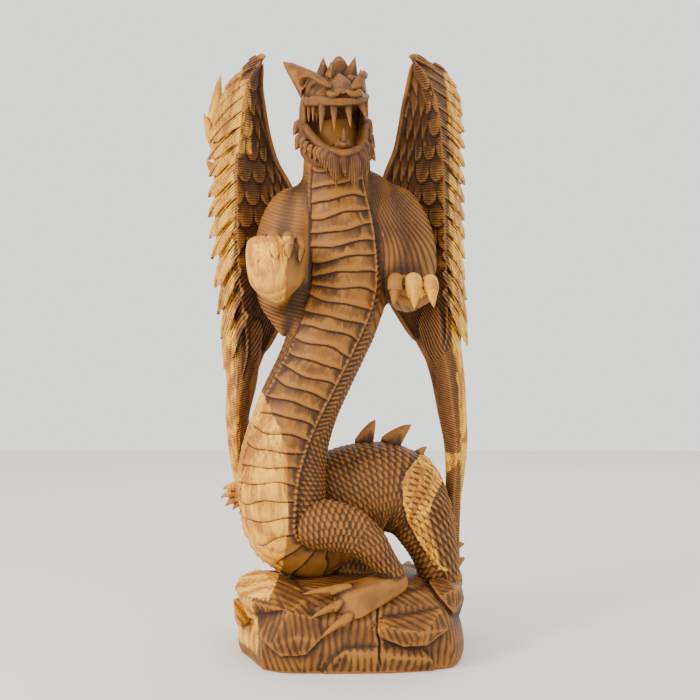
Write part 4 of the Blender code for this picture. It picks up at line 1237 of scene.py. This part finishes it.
@dataclass
class Haunches(Carving):
    """The haunch, the tail that climbs behind the left wing, both hind legs and the spines over them."""

    name: str = "haunches"
    grid_mm: float = 1.4
    budget: int = 195_000
    haunch: Rows = (
        (-85, -10, 235, 52, 50), (-40, 0, 252, 74, 64), (10, 4, 264, 82, 70), (50, 6, 267, 82, 70),
        (84, 6, 258, 78, 64), (113, 2, 230, 60, 54), (130, -6, 195, 47, 47), (143, -10, 155, 37, 42),
        (150, -4, 118, 33, 38),
    )
    tail: Rows = (
        (150, -10, 128, 33, 36), (162, 30, 108, 32, 32), (158, 84, 96, 31, 31), (118, 132, 86, 30, 30),
        (50, 154, 82, 29, 29), (-30, 156, 86, 27, 27), (-100, 142, 112, 25, 25), (-148, 118, 165, 23, 23),
        (-174, 96, 235, 21, 20), (-186, 80, 310, 19, 18), (-194, 76, 400, 17, 16),
        (-200, 82, 500, 15, 15), (-208, 90, 600, 14, 14), (-218, 96, 700, 13, 13),
        (-228, 98, 800, 12, 11), (-232, 97, 850, 9, 9),
    )
    thigh: Rows = (
        (-94, -78, 228, 34, 32), (-66, -92, 226, 41, 37), (-32, -100, 224, 41, 38),
        (2, -104, 214, 38, 34), (30, -106, 196, 31, 30), (50, -104, 172, 24, 25), (68, -100, 150, 19, 22),
        (84, -96, 130, 17, 20),
    )
    foot: Rows = (
        (92, -94, 136, 16, 16), (62, -114, 129, 24, 16), (26, -130, 118, 31, 16), (-4, -142, 108, 34, 14),
        (-24, -148, 102, 26, 11),
    )
    foot_facing: Sequence[float] = (0.0, -0.72, 0.69)
    toes: Sequence[Blade] = (
        ((6, -128, 126), (-78, -148, 121), 8.6), ((2, -140, 110), (-64, -166, 86), 8.8),
        ((12, -150, 96), (-48, -176, 56), 8.8),
    )
    rear_shin: Rows = (
        (-92, 10, 235, 40, 40), (-135, 34, 238, 30, 28), (-172, 52, 250, 20, 18), (-196, 58, 258, 15, 13),
    )
    far_thigh: Rows = (
        (10, 8, 262, 52, 52), (10, 10, 215, 50, 50), (4, 6, 165, 48, 46), (-2, 0, 118, 44, 46),
    )
    rear_claws: Sequence[Blade] = (
        ((-190, 50, 264), (-222, 44, 262), 8), ((-192, 54, 254), (-226, 50, 246), 8),
        ((-190, 58, 246), (-218, 56, 230), 8), ((-184, 60, 240), (-206, 60, 222), 7),
    )
    spines: Sequence[Blade] = (
        ((20, 8, 338), (44, 12, 388), 17), ((62, 10, 338), (106, 14, 379), 19),
        ((100, 6, 306), (132, 8, 342), 14), ((122, 2, 268), (157, 2, 290), 14),
        ((140, -4, 228), (171, -8, 232), 14), ((150, -8, 196), (182, -10, 212), 12),
        ((160, -6, 160), (196, 2, 176), 15), ((170, 40, 120), (202, 56, 142), 14),
        ((160, 100, 104), (190, 130, 126), 14), ((100, 158, 92), (112, 196, 108), 14),
        ((30, 172, 92), (28, 208, 106), 14), ((-46, 172, 98), (-58, 204, 118), 13),
        ((-110, 154, 130), (-136, 182, 152), 13), ((-156, 126, 182), (-190, 142, 196), 13),
        ((-178, 92, 240), (-218, 88, 232), 12),
    )
    # the tail's leaves, and how far each one's middle is moved
    leaves: Sequence[tuple[Blade, Sequence[float]]] = (
        (((-228, 97, 830), (-225, 96, 988), 15), (-8, 0, 0)),
        (((-232, 97, 845), (-259, 95, 921), 11), (3, 0, -4)),
        (((-228, 97, 820), (-252, 95, 836), 10), (0, 0, -6)),
    )
    spine_mm: float = 11.0
    flap_heights: Sequence[float] = (128, 138, 184, 220, 251, 289, 309, 330)
    flap_edge: Sequence[float] = (160, 156, 117, 97, 89, 86, 97, 120)

    def hide_of_haunch(self, surface: Surface) -> np.ndarray:
        """Scales that hang down the haunch, and a raised flap of scales down the tail's front."""
        x, z = surface.place[..., 0], surface.place[..., 2]
        flap = soft_step(x - np.interp(z, self.flap_heights, self.flap_edge), -2.0, 2.0)
        hanging = scales(surface, heading=math.radians(66))
        trailing = scales(surface, math.radians(-14), width=10.0, length=14.0, depth=5.5)
        return hanging * (1 - flap) + (trailing + 3.0) * flap

    def hide_of_thigh(self, surface: Surface) -> np.ndarray:
        """Scales that hang down the thigh and run on down the shin."""
        shin = soft_step(surface.share, 0.50, 0.58)
        hanging = scales(surface, heading=math.radians(72))
        return hanging * (1 - shin) + scales(surface, heading=math.radians(20)) * shin

    def hide_of_tail(self, surface: Surface) -> np.ndarray:
        """Smaller scales along the tail."""
        return scales(surface, width=7.0, length=9.5, depth=1.8)

    def skins(self) -> list[Skin]:
        """The haunch and tail, the legs, the spines and the tail's leaves."""
        skins = [
            limb(self.haunch, ends=(0.2, 0.02), relief=self.hide_of_haunch),
            limb(self.tail, UP, ends=(0.02, 0.03), relief=self.hide_of_tail),
            limb(self.thigh, ends=(0.22, 0.1), relief=self.hide_of_thigh),
            limb(self.foot, self.foot_facing, power=1.45, ends=(0.15, 0.2)),
            limb(self.rear_shin, ends=(0.1, 0.2), relief=scales),
            limb(self.far_thigh, ends=(0.2, 0.1), relief=scales),
        ]
        skins += clawed(self.toes, self.foot_facing, knuckle=(1, -1, 2))
        skins += clawed(self.rear_claws, knuckle=(-2, 0, 3))
        skins += [blade(shape, self.spine_mm, VIEWER, bend=(0, 0, 4), belly=0.15) for shape in self.spines]
        skins += [blade(shape, self.spine_mm, VIEWER, bend=bend, belly=0.5) for shape, bend in self.leaves]
        return skins


@dataclass
class Head(Carving):
    """The gaping head, modelled about its own middle, then turned a little and set on the neck."""

    name: str = "head"
    grid_mm: float = 1.05
    budget: int = 140_000
    place: Sequence[float] = (-28, -80, 880)
    yaw_degrees: float = 7.0
    skull: Rows = (
        (0, 52, 8, 26, 30), (0, 34, 20, 46, 40), (0, 0, 36, 50, 36), (-1, -34, 44, 46, 26),
        (-1, -60, 42, 38, 18),
    )
    snout: Rows = (
        (0, -10, 40, 44, 28), (0, -44, 36, 42, 22), (1, -76, 30, 40, 16), (2, -100, 22, 38, 11),
        (2, -112, 18, 34, 7),
    )
    lip: Rows = (
        (-46, -30, 26, 4.5, 7), (-44, -70, 22, 5, 8), (-30, -104, 17, 5, 7.5), (2, -117, 14, 5, 5.5),
        (30, -107, 18, 5, 5), (44, -76, 28, 5, 4.5), (48, -34, 38, 4.5, 4),
    )
    temples: Rows = ((10, -46, 56, 16, 18), (32, -46, 47, 14, 18), (43, -42, 30, 8, 14))
    throat: Rows = ((0, 6, 40, 46, 10), (0, 4, 0, 48, 10), (0, 4, -56, 46, 12))
    lip_shelf: Rows = (
        (-47, -36, 24), (-45, -76, 18), (-29, -108, 14), (2, -120, 13), (30, -110, 18), (46, -78, 28),
        (49, -38, 38), (-38, -56, 32), (-22, -98, 27), (2, -110, 26), (24, -102, 29), (40, -62, 40),
    )
    nose: Rows = (
        (5, -36, 72), (5, -74, 63), (1, -117, 28), (-13, -90, 46), (-21, -105, 27), (17, -86, 50),
        (22, -107, 31), (-24, -40, 54), (30, -40, 58), (0, -100, 18),
    )
    lower_jaw: Rows = (
        (2, 26, -50, 44, 18), (4, -10, -60, 44, 13), (6, -48, -68, 37, 9), (7, -76, -72, 27, 8),
        (7, -90, -72, 18, 7),
    )
    lower_lip: Rows = (
        (-48, -8, -4, 7, 7), (-45, -36, -18, 6, 7), (-36, -62, -36, 6, 7), (-19, -86, -54, 6, 6),
        (7, -98, -62, 6, 6), (28, -90, -56, 6, 6), (42, -62, -38, 6, 7), (48, -34, -16, 6, 7),
        (50, -6, 4, 7, 7),
    )
    jaw_wall: Rows = (
        (-50, -2, -30, 6, 26), (-45, -34, -44, 6, 24), (-34, -60, -58, 6, 20), (-17, -82, -70, 6, 13),
        (8, -92, -74, 6, 10), (28, -84, -69, 6, 13), (42, -58, -57, 6, 21), (48, -30, -40, 6, 25),
        (51, 0, -24, 6, 26),
    )
    cheek: Rows = (
        (48, -20, 40, 10, 24), (49, -16, 14, 8, 20), (48, -12, -14, 8, 20), (46, -6, -40, 10, 24),
    )
    tongue: Rows = (
        (2, 0, -48, 18, 9), (5, -38, -48, 14, 8), (7, -62, -49, 11, 9), (8, -80, -47, 13, 12),
        (8, -90, -48, 9, 9),
    )
    fangs: Sequence[Blade] = (
        ((-27, -104, 17), (-31, -107, -34), 6.8), ((-11, -110, 16), (-10, -114, -31), 6.8),
        ((11, -110, 17), (15, -115, -26), 6.8), ((29, -102, 22), (43, -109, -13), 7.2),
        ((-38, -70, 17), (-39, -71, -14), 3.8), ((-33, -66, 17), (-33, -67, -12), 3.8),
        ((-43, -50, 17), (-44, -51, -12), 3.8), ((44, -70, 28), (48, -72, 2), 4.5),
    )
    lower_tooth: Blade = ((8, -84, -46), (7, -90, -20), 5)
    brows: Sequence[Rows] = (
        ((-56, -52, 46, 6, 5), (-53, -68, 57, 8, 7), (-42, -82, 58, 9, 7), (-28, -94, 48, 9, 6),
         (-14, -102, 38, 7, 5)),
        ((45, -44, 70, 5, 5), (42, -58, 66, 8, 7), (36, -74, 56, 10, 8), (28, -90, 45, 9, 7),
         (18, -102, 36, 7, 5)),
    )
    nostrils: Sequence[Rows] = (
        ((-20, -108, 30, 5, 5), (-14, -116, 25, 6, 5), (-6, -120, 27, 5, 4), (-2, -118, 33, 4, 4)),
        ((8, -118, 32, 4, 4), (14, -119, 27, 5, 4), (24, -115, 27, 6, 5), (32, -106, 34, 5, 5)),
    )
    left_ear: Rows = (
        (-82, 2, 95), (-63, 4, 93), (-27, -30, 72), (-54, -34, 42), (-28, 10, 58), (-50, 8, 34),
        (-64, 14, 84), (-78, 12, 88),
    )
    right_ear: Rows = (
        (46, 6, 86), (54, 14, 80), (34, -20, 58), (56, -16, 26), (36, 20, 50), (54, 20, 28),
    )
    crest: Sequence[Blade] = (
        ((-20, -40, 56), (-19, -34, 97), 13), ((-10, -52, 60), (-8, -50, 88), 8),
        ((8, -28, 56), (8, -18, 102), 17), ((22, -36, 56), (33, -30, 100), 13),
        ((0, 10, 56), (0, 34, 92), 15), ((2, 36, 44), (2, 70, 72), 15),
    )
    beard: Sequence[Blade] = (
        ((2, -70, -50), (4, -84, -92), 34), ((24, -70, -50), (24, -82, -94), 24),
        ((-26, -84, -52), (-26, -80, -81), 10), ((-16, -90, -56), (-19, -84, -92), 12),
        ((-7, -94, -60), (-4, -88, -113), 14), ((6, -96, -62), (10, -90, -99), 12),
        ((18, -94, -62), (27, -88, -118), 15), ((31, -88, -58), (36, -84, -100), 12),
        ((37, -82, -52), (46, -78, -103), 9), ((38, -74, -40), (53, -68, -57), 8),
        ((39, -76, -50), (54, -68, -71), 8), ((39, -78, -60), (52, -70, -87), 8),
        ((-50, -50, -34), (-57, -50, -54), 7), ((-46, -56, -40), (-51, -54, -62), 7),
        ((-40, -64, -46), (-43, -62, -69), 7), ((-32, -74, -50), (-36, -72, -75), 7),
        ((49, -28, -38), (66, -32, -68), 10), ((51, -16, -20), (67, -18, -46), 10),
        ((-50, -14, -24), (-62, -12, -50), 10), ((-50, 4, 0), (-64, 6, -24), 10),
        ((51, 0, 4), (66, 2, -20), 10),
    )
    broad_crest: float = 16.0  # the half width from which a crest point is round
    crest_mm: float = 16.0
    lock_mm: float = 11.0  # the thickness of a lock of the beard
    hair_mm: float = 3.4
    hair_top: float = -66.0
    cut_depth: float = 0.9
    # each eye's place, radius and depth
    sockets: Rows = ((-37, -72, 42, 13, 13), (37, -74, 50, 9, 6))

    def spin(self) -> np.ndarray:
        """The matrix that turns the head."""
        yaw = math.radians(self.yaw_degrees)
        return np.array(((math.cos(yaw), -math.sin(yaw), 0), (math.sin(yaw), math.cos(yaw), 0), (0, 0, 1)))

    def chisel(self, points: np.ndarray) -> np.ndarray:
        """Hollows the eye sockets out under the brows."""
        own = (points - self.place) @ self.spin()
        lift = np.zeros(len(points))
        for x, y, z, radius, depth in self.sockets:
            lift -= depth * np.exp(-((np.linalg.norm(own - (x, y, z), axis=1) / radius) ** 2))
        return lift

    def cuts(self, points: np.ndarray, facing: np.ndarray) -> Cuts:
        """Hair down the beard, from under the lip."""
        own = (points - self.place) @ self.spin()
        below = self.hair_top - own[:, 2]
        phase = own[:, 0] * (1 - 0.002 * below) / self.hair_mm
        return Cuts(phase, 0.7 * soft_step(below, 0.0, 6.0) * (own[:, 1] < -30))

    def skins(self) -> list[Skin]:
        """Skull, snout and jaws, the teeth in them, and the ears, crest and beard round them."""
        far_cheek = [(-x, *rest) for x, *rest in self.cheek]
        skins = [
            limb(self.skull, UP, ends=(0.3, 0.1)),
            limb(self.snout, UP, power=2.6, ends=(0.1, 0.08)),
            limb(self.lip, UP, power=3.0, ends=(0.05, 0.05)),
            limb(self.temples, ends=(0.3, 0.3)),
            limb(self.throat, ends=(0.2, 0.2)),
            stone(self.lip_shelf),
            stone(self.nose),
            limb(self.lower_jaw, UP, power=2.4, ends=(0.1, 0.12)),
            limb(self.lower_lip, UP, ends=(0.05, 0.05)),
            limb(self.jaw_wall, UP, ends=(0.05, 0.05)),
            limb(self.cheek, ends=(0.7, 0.05)),
            limb(far_cheek, ends=(0.7, 0.05)),
            limb(self.tongue, UP, ends=(0.1, 0.2)),
            stone(self.left_ear),
            stone(self.right_ear),
            spike(self.lower_tooth),
        ]
        skins += [spike(fang) for fang in self.fangs]
        skins += [limb(brow, UP, power=1.6, ends=(0.2, 0.2)) for brow in self.brows]
        skins += [limb(nostril, UP, ends=(0.3, 0.3)) for nostril in self.nostrils]
        for shape in self.crest:
            belly, sharp = (0.5, 0.5) if shape[2] > self.broad_crest else (0.2, 0.9)
            skins.append(blade(shape, self.crest_mm, VIEWER, belly=belly, sharp=sharp))
        skins += [blade(shape, self.lock_mm, VIEWER, belly=0.35) for shape in self.beard]
        place = np.array(self.place) * THOUSANDTH
        return [Skin(skin.points @ self.spin().T + place, skin.faces) for skin in skins]


@dataclass
class Wing(Carving):
    """One wing: a bent plate under rows of feathers, drawn out below into a long strap."""

    grid_mm: float = 1.2
    budget: int = 190_000
    side: Side = Side.LEFT
    inner: Rows = ()
    ridge: Rows = ()
    tips: Rows = ()
    strap: Rows = ()
    first_free_tip: int = 5
    wall_mm: float = 34.0
    feather_mm: float = 7.5
    cut_depth: float = 1.4
    barb_mm: float = 4.2
    rib_mm: float = 4.0
    hatch_mm: float = 4.0
    rim_mm: float = 4.5
    covert_mm: float = 38.0  # the length of a round covert
    leaf_mm: tuple[float, float] = (36.0, 12.5)  # a narrow leaf's length and width
    relief_mm: tuple[float, float] = (6.0, 5.0)  # the lift of coverts and of leaves
    leaf_lean: float = 0.22
    feather_step: float = 3.0
    feather_pitch: float = 24.0  # from one to the next where their tips aren't free
    barb_strength: float = 0.9
    top: float = 990.0
    lowest_covert: float = 640.0
    strap_top: float = 500.0
    levels: Sequence[float] = (470, 600, 720, 860, 990)  # heights, for the next two lines
    covert_widths: Sequence[float] = (27, 27, 27, 19, 13)
    steepness: Sequence[float] = (2.3, 1.6, 1.0, 0.72, 0.6)  # of the barbs

    def __post_init__(self) -> None:
        """Works out the wing's lines, which run on into the strap, and the ways its two faces look."""
        way = self.side.value
        x, y, z, wide, deep = self.strap[2]
        ends = ((x - way * wide * 0.8, y, z), (x, y - deep, z), (x + way * wide * 0.8, y, z))
        self.inner_line, self.ridge_line, self.tip_line = (
            smooth_rows([*line, end], 400) for line, end in zip((self.inner, self.ridge, self.tips), ends)
        )
        self.outer_face = unit((0.85 * way, -0.52, 0.0))
        self.inner_face = unit((-0.72 * way, -0.69, 0.0))

    def at_height(self, line: np.ndarray, z: float) -> np.ndarray:
        """The point of a line of the wing at a height."""
        order = np.argsort(line[:, 2])
        return np.array([np.interp(z, line[order, 2], line[order, i]) for i in range(3)])

    def plate(self) -> Skin:
        """The wing without its feathers."""
        rings = []
        steps = int(110 / pitch_mm())
        back = np.array((0.0, self.wall_mm, 0.0))
        last = len(self.inner_line) - 1
        for share in np.linspace(0.0, 1.0, int(520 / pitch_mm())):
            inner, ridge, tip = (
                line[int(share * last)] for line in (self.inner_line, self.ridge_line, self.tip_line)
            )
            reach = np.interp(share, (0.0, 0.25, 0.34, 0.6, 1.0), (1.0, 1.0, 0.80, 0.74, 0.70))
            rim = ridge + (tip - ridge) * reach
            swell = min(1.0, math.sqrt(max(0.04, share * 14)), math.sqrt(max(0.04, (1 - share) * 8)))
            hollow = 9.0 * swell * min(1.0, share * 5)
            t = np.linspace(0.0, 1.0, steps)[:, None]
            edge = np.minimum(1.0, np.minimum(t * 12, (1 - t) * 12)) * min(1.0, share * 12, (1 - share) * 8)
            front = np.concatenate([
                inner + (ridge - inner) * t - self.inner_face * hollow * np.sin(math.pi * t),
                ridge + (rim - ridge) * t[1:],
            ])
            around_ridge = slice(steps - 6, steps + 5)
            for _ in range(4):
                nearby = front[steps - 7:steps + 4] + front[steps - 5:steps + 6]
                front[around_ridge] = front[around_ridge] * 0.5 + nearby * 0.25
            lift = self.covert_relief(front[:steps], ridge) * edge
            thinning = 1.0 - 0.55 * np.linspace(0.0, 1.0, len(front))[:, None]
            behind = front + back * swell * thinning
            front[:steps] += self.inner_face * lift
            rings.append(np.concatenate([front, behind[::-1]])[:: self.side.value])
        return closed_skin(np.array(rings) * THOUSANDTH)

    def covert_relief(self, front: np.ndarray, ridge: np.ndarray) -> np.ndarray:
        """Round coverts beside the ridge, and narrow leaves from there to the inner edge.

        Args:
            front: points across the inner face at one height, in millimetres.
            ridge: the ridge's point at that height.

        Returns:
            The lift of each point, as a column.
        """
        inward, z = np.abs(front[:, 0] - ridge[0]), front[:, 2]
        down = self.top - z
        width = np.interp(z, self.levels, self.covert_widths)
        covert_lift, leaf_lift = self.relief_mm
        coverts = covert_lift * shingles(down / self.covert_mm, inward / width - 0.5, 1.35, roundness=2.2)
        long, wide = self.leaf_mm
        leaves = leaf_lift * shingles(down / long, (inward - self.leaf_lean * down) / wide)
        share = soft_step(inward, self.border(z) - 1, self.border(z) + 1)
        lift = coverts * (1 - share) + leaves * share - 2.0
        return (lift * soft_step(z, self.lowest_covert - 12, self.lowest_covert + 12))[:, None]

    def border(self, z: np.ndarray) -> np.ndarray:
        """How far in from the ridge the coverts reach, one column of them high up and two lower down."""
        return np.interp(z, self.levels, self.covert_widths) * (2 - soft_step(z, 846, 850))

    def cuts(self, points: np.ndarray, facing: np.ndarray) -> Cuts:
        """Barbs, ribs across the coverts, veins down the leaves and hatching on the strap."""
        x, _, z = points.T
        way = self.side.value
        outward = (x - self.line_x(self.ridge_line, z)) * way
        from_rim = (x - self.line_x(self.inner_line, z)) * way
        pitch = self.barb_mm * np.sqrt(1 + np.interp(z, self.levels, self.steepness) ** 2)
        heights = np.linspace(150, 1000, 851)
        spacing = self.barb_mm * np.sqrt(1 + np.interp(heights, self.levels, self.steepness) ** 2)
        barbs = np.interp(z, heights, np.cumsum(1 / spacing)) + self.fall(outward, z) / pitch

        covert = (outward < 0) & (z > self.lowest_covert)
        leafy = covert & (-outward > self.border(z))
        strap = z < self.strap_top + 0.9 * outward
        phase = np.where(covert, z / self.rib_mm, barbs)
        veins = (-outward - self.leaf_lean * (self.top - z)) / self.leaf_mm[1] * 2
        phase = np.where(leafy, veins, phase)
        phase = np.where(strap, (z + 0.3 * way * x) / self.hatch_mm, phase)
        strength = np.where(covert, 0.55, self.barb_strength)
        strength = strength * np.where(leafy, 0.25, 1.0) * np.where(strap, 0.7, 1.0)
        if self.side is Side.RIGHT:
            strength *= 1 - 0.5 * soft_step(outward, 22.0, 32.0)
        return Cuts(phase, strength * soft_step(from_rim, 6.0, 9.0))

    def fall(self, outward: np.ndarray, z: np.ndarray) -> np.ndarray:
        """How far a feather has fallen this far outward of the ridge, in millimetres."""
        steep = np.interp(z, self.levels, self.steepness)
        return steep * (0.55 * outward + 0.009 * outward * np.abs(outward))

    def chisel(self, points: np.ndarray) -> np.ndarray:
        """Raises each flight feather towards its lower edge, all the way from the ridge."""
        x, _, z = points.T
        outward = (x - self.line_x(self.ridge_line, z)) * self.side.value
        tips = np.asarray(self.tips, float)
        reach = (tips[:, 0] - self.line_x(self.ridge_line, tips[:, 2])) * self.side.value
        edges = tips[self.first_free_tip:, 2] + self.fall(reach, tips[:, 2])[self.first_free_tip:]
        edges = np.concatenate([edges[0] + np.arange(6, 0, -1) * self.feather_pitch, edges])[::-1]
        share = np.interp(z + self.fall(outward, z), edges, np.arange(len(edges)))
        part = share % 1.0
        lift = self.feather_step * (0.5 - part) - 2.2 * np.exp(-((np.minimum(part, 1 - part) / 0.05) ** 2))
        return lift * soft_step(outward, 0.0, 4.0) * soft_step(z, self.strap_top, self.strap_top + 30)

    def line_x(self, line: np.ndarray, z: np.ndarray) -> np.ndarray:
        """How far to the right a line of the wing is, at each height."""
        order = np.argsort(line[:, 2])
        return np.interp(z, line[order, 2], line[order, 0])

    def flight_feathers(self) -> list[Skin]:
        """Long pointed feathers from the ridge to the outer edge, each lying over the next one down."""
        skins = []
        tips = np.asarray(self.tips, float)[self.first_free_tip:]
        pitch = -np.gradient(tips[:, 2])
        highest = self.ridge_line[:, 2].max() - 12
        for i, tip in enumerate(tips):
            down = i / (len(tips) - 1)
            root = self.at_height(self.ridge_line, min(tip[2] + 34 + 70 * down**1.5, highest))
            root = root + np.array((-4.0 * self.side.value, 8.0, 0.0))
            face = unit(self.outer_face + 0.34 * np.array(UP))
            skins.append(blade(
                (root, tip, 0.5 * pitch[i] + 6 + 5 * down), self.feather_mm, face,
                bend=self.outer_face * 6 + np.array((0, 0, 5.0)), belly=0.62, sharp=0.85,
            ))
        return skins

    def skins(self) -> list[Skin]:
        """The plate, its hooked top, the smooth rim, the strap and all the feathers."""
        hook = np.asarray(self.inner[0], float)
        way = self.side.value
        top = (hook + np.array((22 * way, 10, -14)), hook + np.array((-8 * way, -26, 6)), 17)
        rim = [(*point, self.rim_mm, self.rim_mm) for point in self.inner]
        return [
            self.plate(),
            spike(top, flat=0.8, bend=(0, 0, 9)),
            limb(rim, ends=(0.05, 0.05)),
            limb(self.strap, power=1.35, ends=(0.1, 0.04)),
            *self.flight_feathers(),
        ]


LEFT_WING = dict(
    inner=(
        (-146, -14, 984), (-150, 8, 950), (-146, 22, 914), (-138, 30, 867), (-124, 36, 822),
        (-104, 38, 786), (-88, 38, 740), (-84, 38, 680), (-96, 38, 600), (-122, 34, 545), (-146, 28, 500),
    ),
    ridge=(
        (-148, -34, 984), (-166, -34, 956), (-176, -34, 923), (-181, -35, 873), (-186, -35, 823),
        (-188, -35, 756), (-187, -35, 690), (-184, -30, 623), (-176, -24, 557), (-172, -18, 500),
    ),
    tips=(
        (-150, -22, 992), (-172, 0, 984), (-196, 20, 970), (-216, 35, 947), (-229, 45, 909),
        (-242, 55, 858), (-245, 58, 829), (-244, 60, 800), (-245, 60, 765), (-245, 60, 730),
        (-243, 60, 694), (-238, 60, 661), (-234, 55, 609), (-227, 50, 566), (-221, 43, 521),
        (-217, 35, 470),
    ),
    strap=(
        (-180, 8, 570, 36, 22), (-184, 8, 510, 34, 21), (-184, 10, 450, 26, 20), (-191, 12, 400, 21, 18),
        (-192, 16, 350, 17, 15), (-188, 26, 290, 13, 12), (-180, 44, 240, 11, 10),
    ),
)
RIGHT_WING = dict(
    inner=(
        (104, -14, 984), (98, 8, 950), (92, 22, 923), (86, 30, 886), (77, 36, 844), (62, 38, 806),
        (50, 38, 760), (46, 38, 690), (58, 38, 612), (86, 34, 560), (112, 28, 520),
    ),
    ridge=(
        (106, -34, 986), (123, -34, 966), (140, -35, 931), (150, -35, 873), (155, -35, 806),
        (158, -35, 740), (160, -32, 657), (162, -28, 590), (162, -22, 535), (158, -16, 500),
    ),
    tips=(
        (108, -22, 990), (127, 0, 992), (148, 20, 990), (166, 35, 978), (186, 45, 945), (194, 55, 906),
        (197, 58, 876), (198, 60, 848), (198, 60, 817), (198, 60, 786), (197, 60, 755), (197, 60, 725),
        (198, 60, 692), (198, 60, 659), (198, 56, 624), (200, 50, 588), (201, 43, 548), (202, 36, 508),
    ),
    strap=(
        (146, 4, 590, 34, 24), (152, 6, 530, 34, 23), (166, 10, 460, 29, 22), (174, 14, 400, 25, 19),
        (180, 18, 350, 21, 16), (180, 22, 300, 17, 14), (177, 22, 250, 14, 12), (178, 14, 190, 10, 10),
        (178, 8, 120, 10, 10),
    ),
)


@dataclass
class Studio:
    """A plain pale floor, soft lights and the camera at the photograph's viewing angle."""

    floor_size: float = 6.0
    floor_colour: str = "#E4E1DC"
    sky_colour: str = "#F2F1EE"
    sky_strength: float = 1.75
    camera_place: Sequence[float] = (0.0, -2.3, 0.59)
    camera_down_degrees: float = 2.1
    lens_mm: float = 70.05
    sensor_mm: float = 36.0
    middle_height: float = 0.5  # of the carving, where the lights look

    def floor(self) -> None:
        """Lays the floor."""
        bpy.ops.mesh.primitive_plane_add(size=self.floor_size, location=(0.0, 0.0, 0.0))
        floor = bpy.context.object
        floor.name = "floor"
        paint = bpy.data.materials.new("matt_pale_floor_paint")
        paint.use_nodes = True
        shader = paint.node_tree.nodes["Principled BSDF"]
        shader.inputs["Base Color"].default_value = linear(self.floor_colour)
        shader.inputs["Roughness"].default_value = 0.85
        floor.data.materials.append(paint)
        floor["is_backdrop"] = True

    def light(self, name: str, place: Sequence[float], size: float, watts: float, colour: str) -> None:
        """Hangs one soft square light that looks at the carving's middle.

        Args:
            name: the light's name.
            place: where it hangs, in metres.
            size: of its square, in metres.
            watts: its power.
            colour: of its light.
        """
        data = bpy.data.lights.new(name, "AREA")
        data.size = size
        data.energy = watts
        data.color = linear(colour)[:3]
        lamp = bpy.data.objects.new(name, data)
        bpy.context.scene.collection.objects.link(lamp)
        x, y, z = place
        lamp.location = place
        down = math.atan2(z - self.middle_height, math.hypot(x, y))
        lamp.rotation_euler = (math.pi / 2 - down, 0.0, math.atan2(x, -y))

    def build(self) -> None:
        """Sets up the floor, the sky, the lights and the camera."""
        self.floor()
        world = bpy.data.worlds.new("studio")
        world.use_nodes = True
        background = world.node_tree.nodes["Background"]
        background.inputs["Color"].default_value = linear(self.sky_colour)
        background.inputs["Strength"].default_value = self.sky_strength
        bpy.context.scene.world = world
        self.light("key_softbox", (-1.9, -1.6, 1.8), 0.8, 80.0, "#FFF0D8")
        self.light("fill_softbox", (1.7, -2.2, 1.2), 1.4, 14.0, "#FFF9F0")
        self.light("back_softbox", (0.8, 2.0, 1.9), 1.4, 18.0, "#FFFFFF")
        lens = bpy.data.cameras.new("camera")
        lens.lens, lens.sensor_width = self.lens_mm, self.sensor_mm
        camera = bpy.data.objects.new("camera", lens)
        bpy.context.scene.collection.objects.link(camera)
        camera.location = self.camera_place
        camera.rotation_euler = (math.radians(90 - self.camera_down_degrees), 0.0, 0.0)
        bpy.context.scene.camera = camera


def main() -> None:
    """Builds the studio and the carving's sub-assemblies in order, and reports each piece."""
    logging.basicConfig(level=logging.INFO, format="%(message)s")
    log = logging.getLogger("carving")
    Studio().build()
    wood = OiledSuar().material()
    carvings = (
        Rock(),
        Haunches(),
        Torso(),
        Head(),
        Wing("wing_left", side=Side.LEFT, **LEFT_WING),
        Wing("wing_right", side=Side.RIGHT, **RIGHT_WING),
    )
    for carving in carvings:
        piece = carving.build()
        carving.dress(piece, wood)
        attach(piece, "root")
        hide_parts(NODE)
        log.info("%s: %d triangles", piece.name, len(piece.data.polygons))


if __name__ == "__main__":
    main()
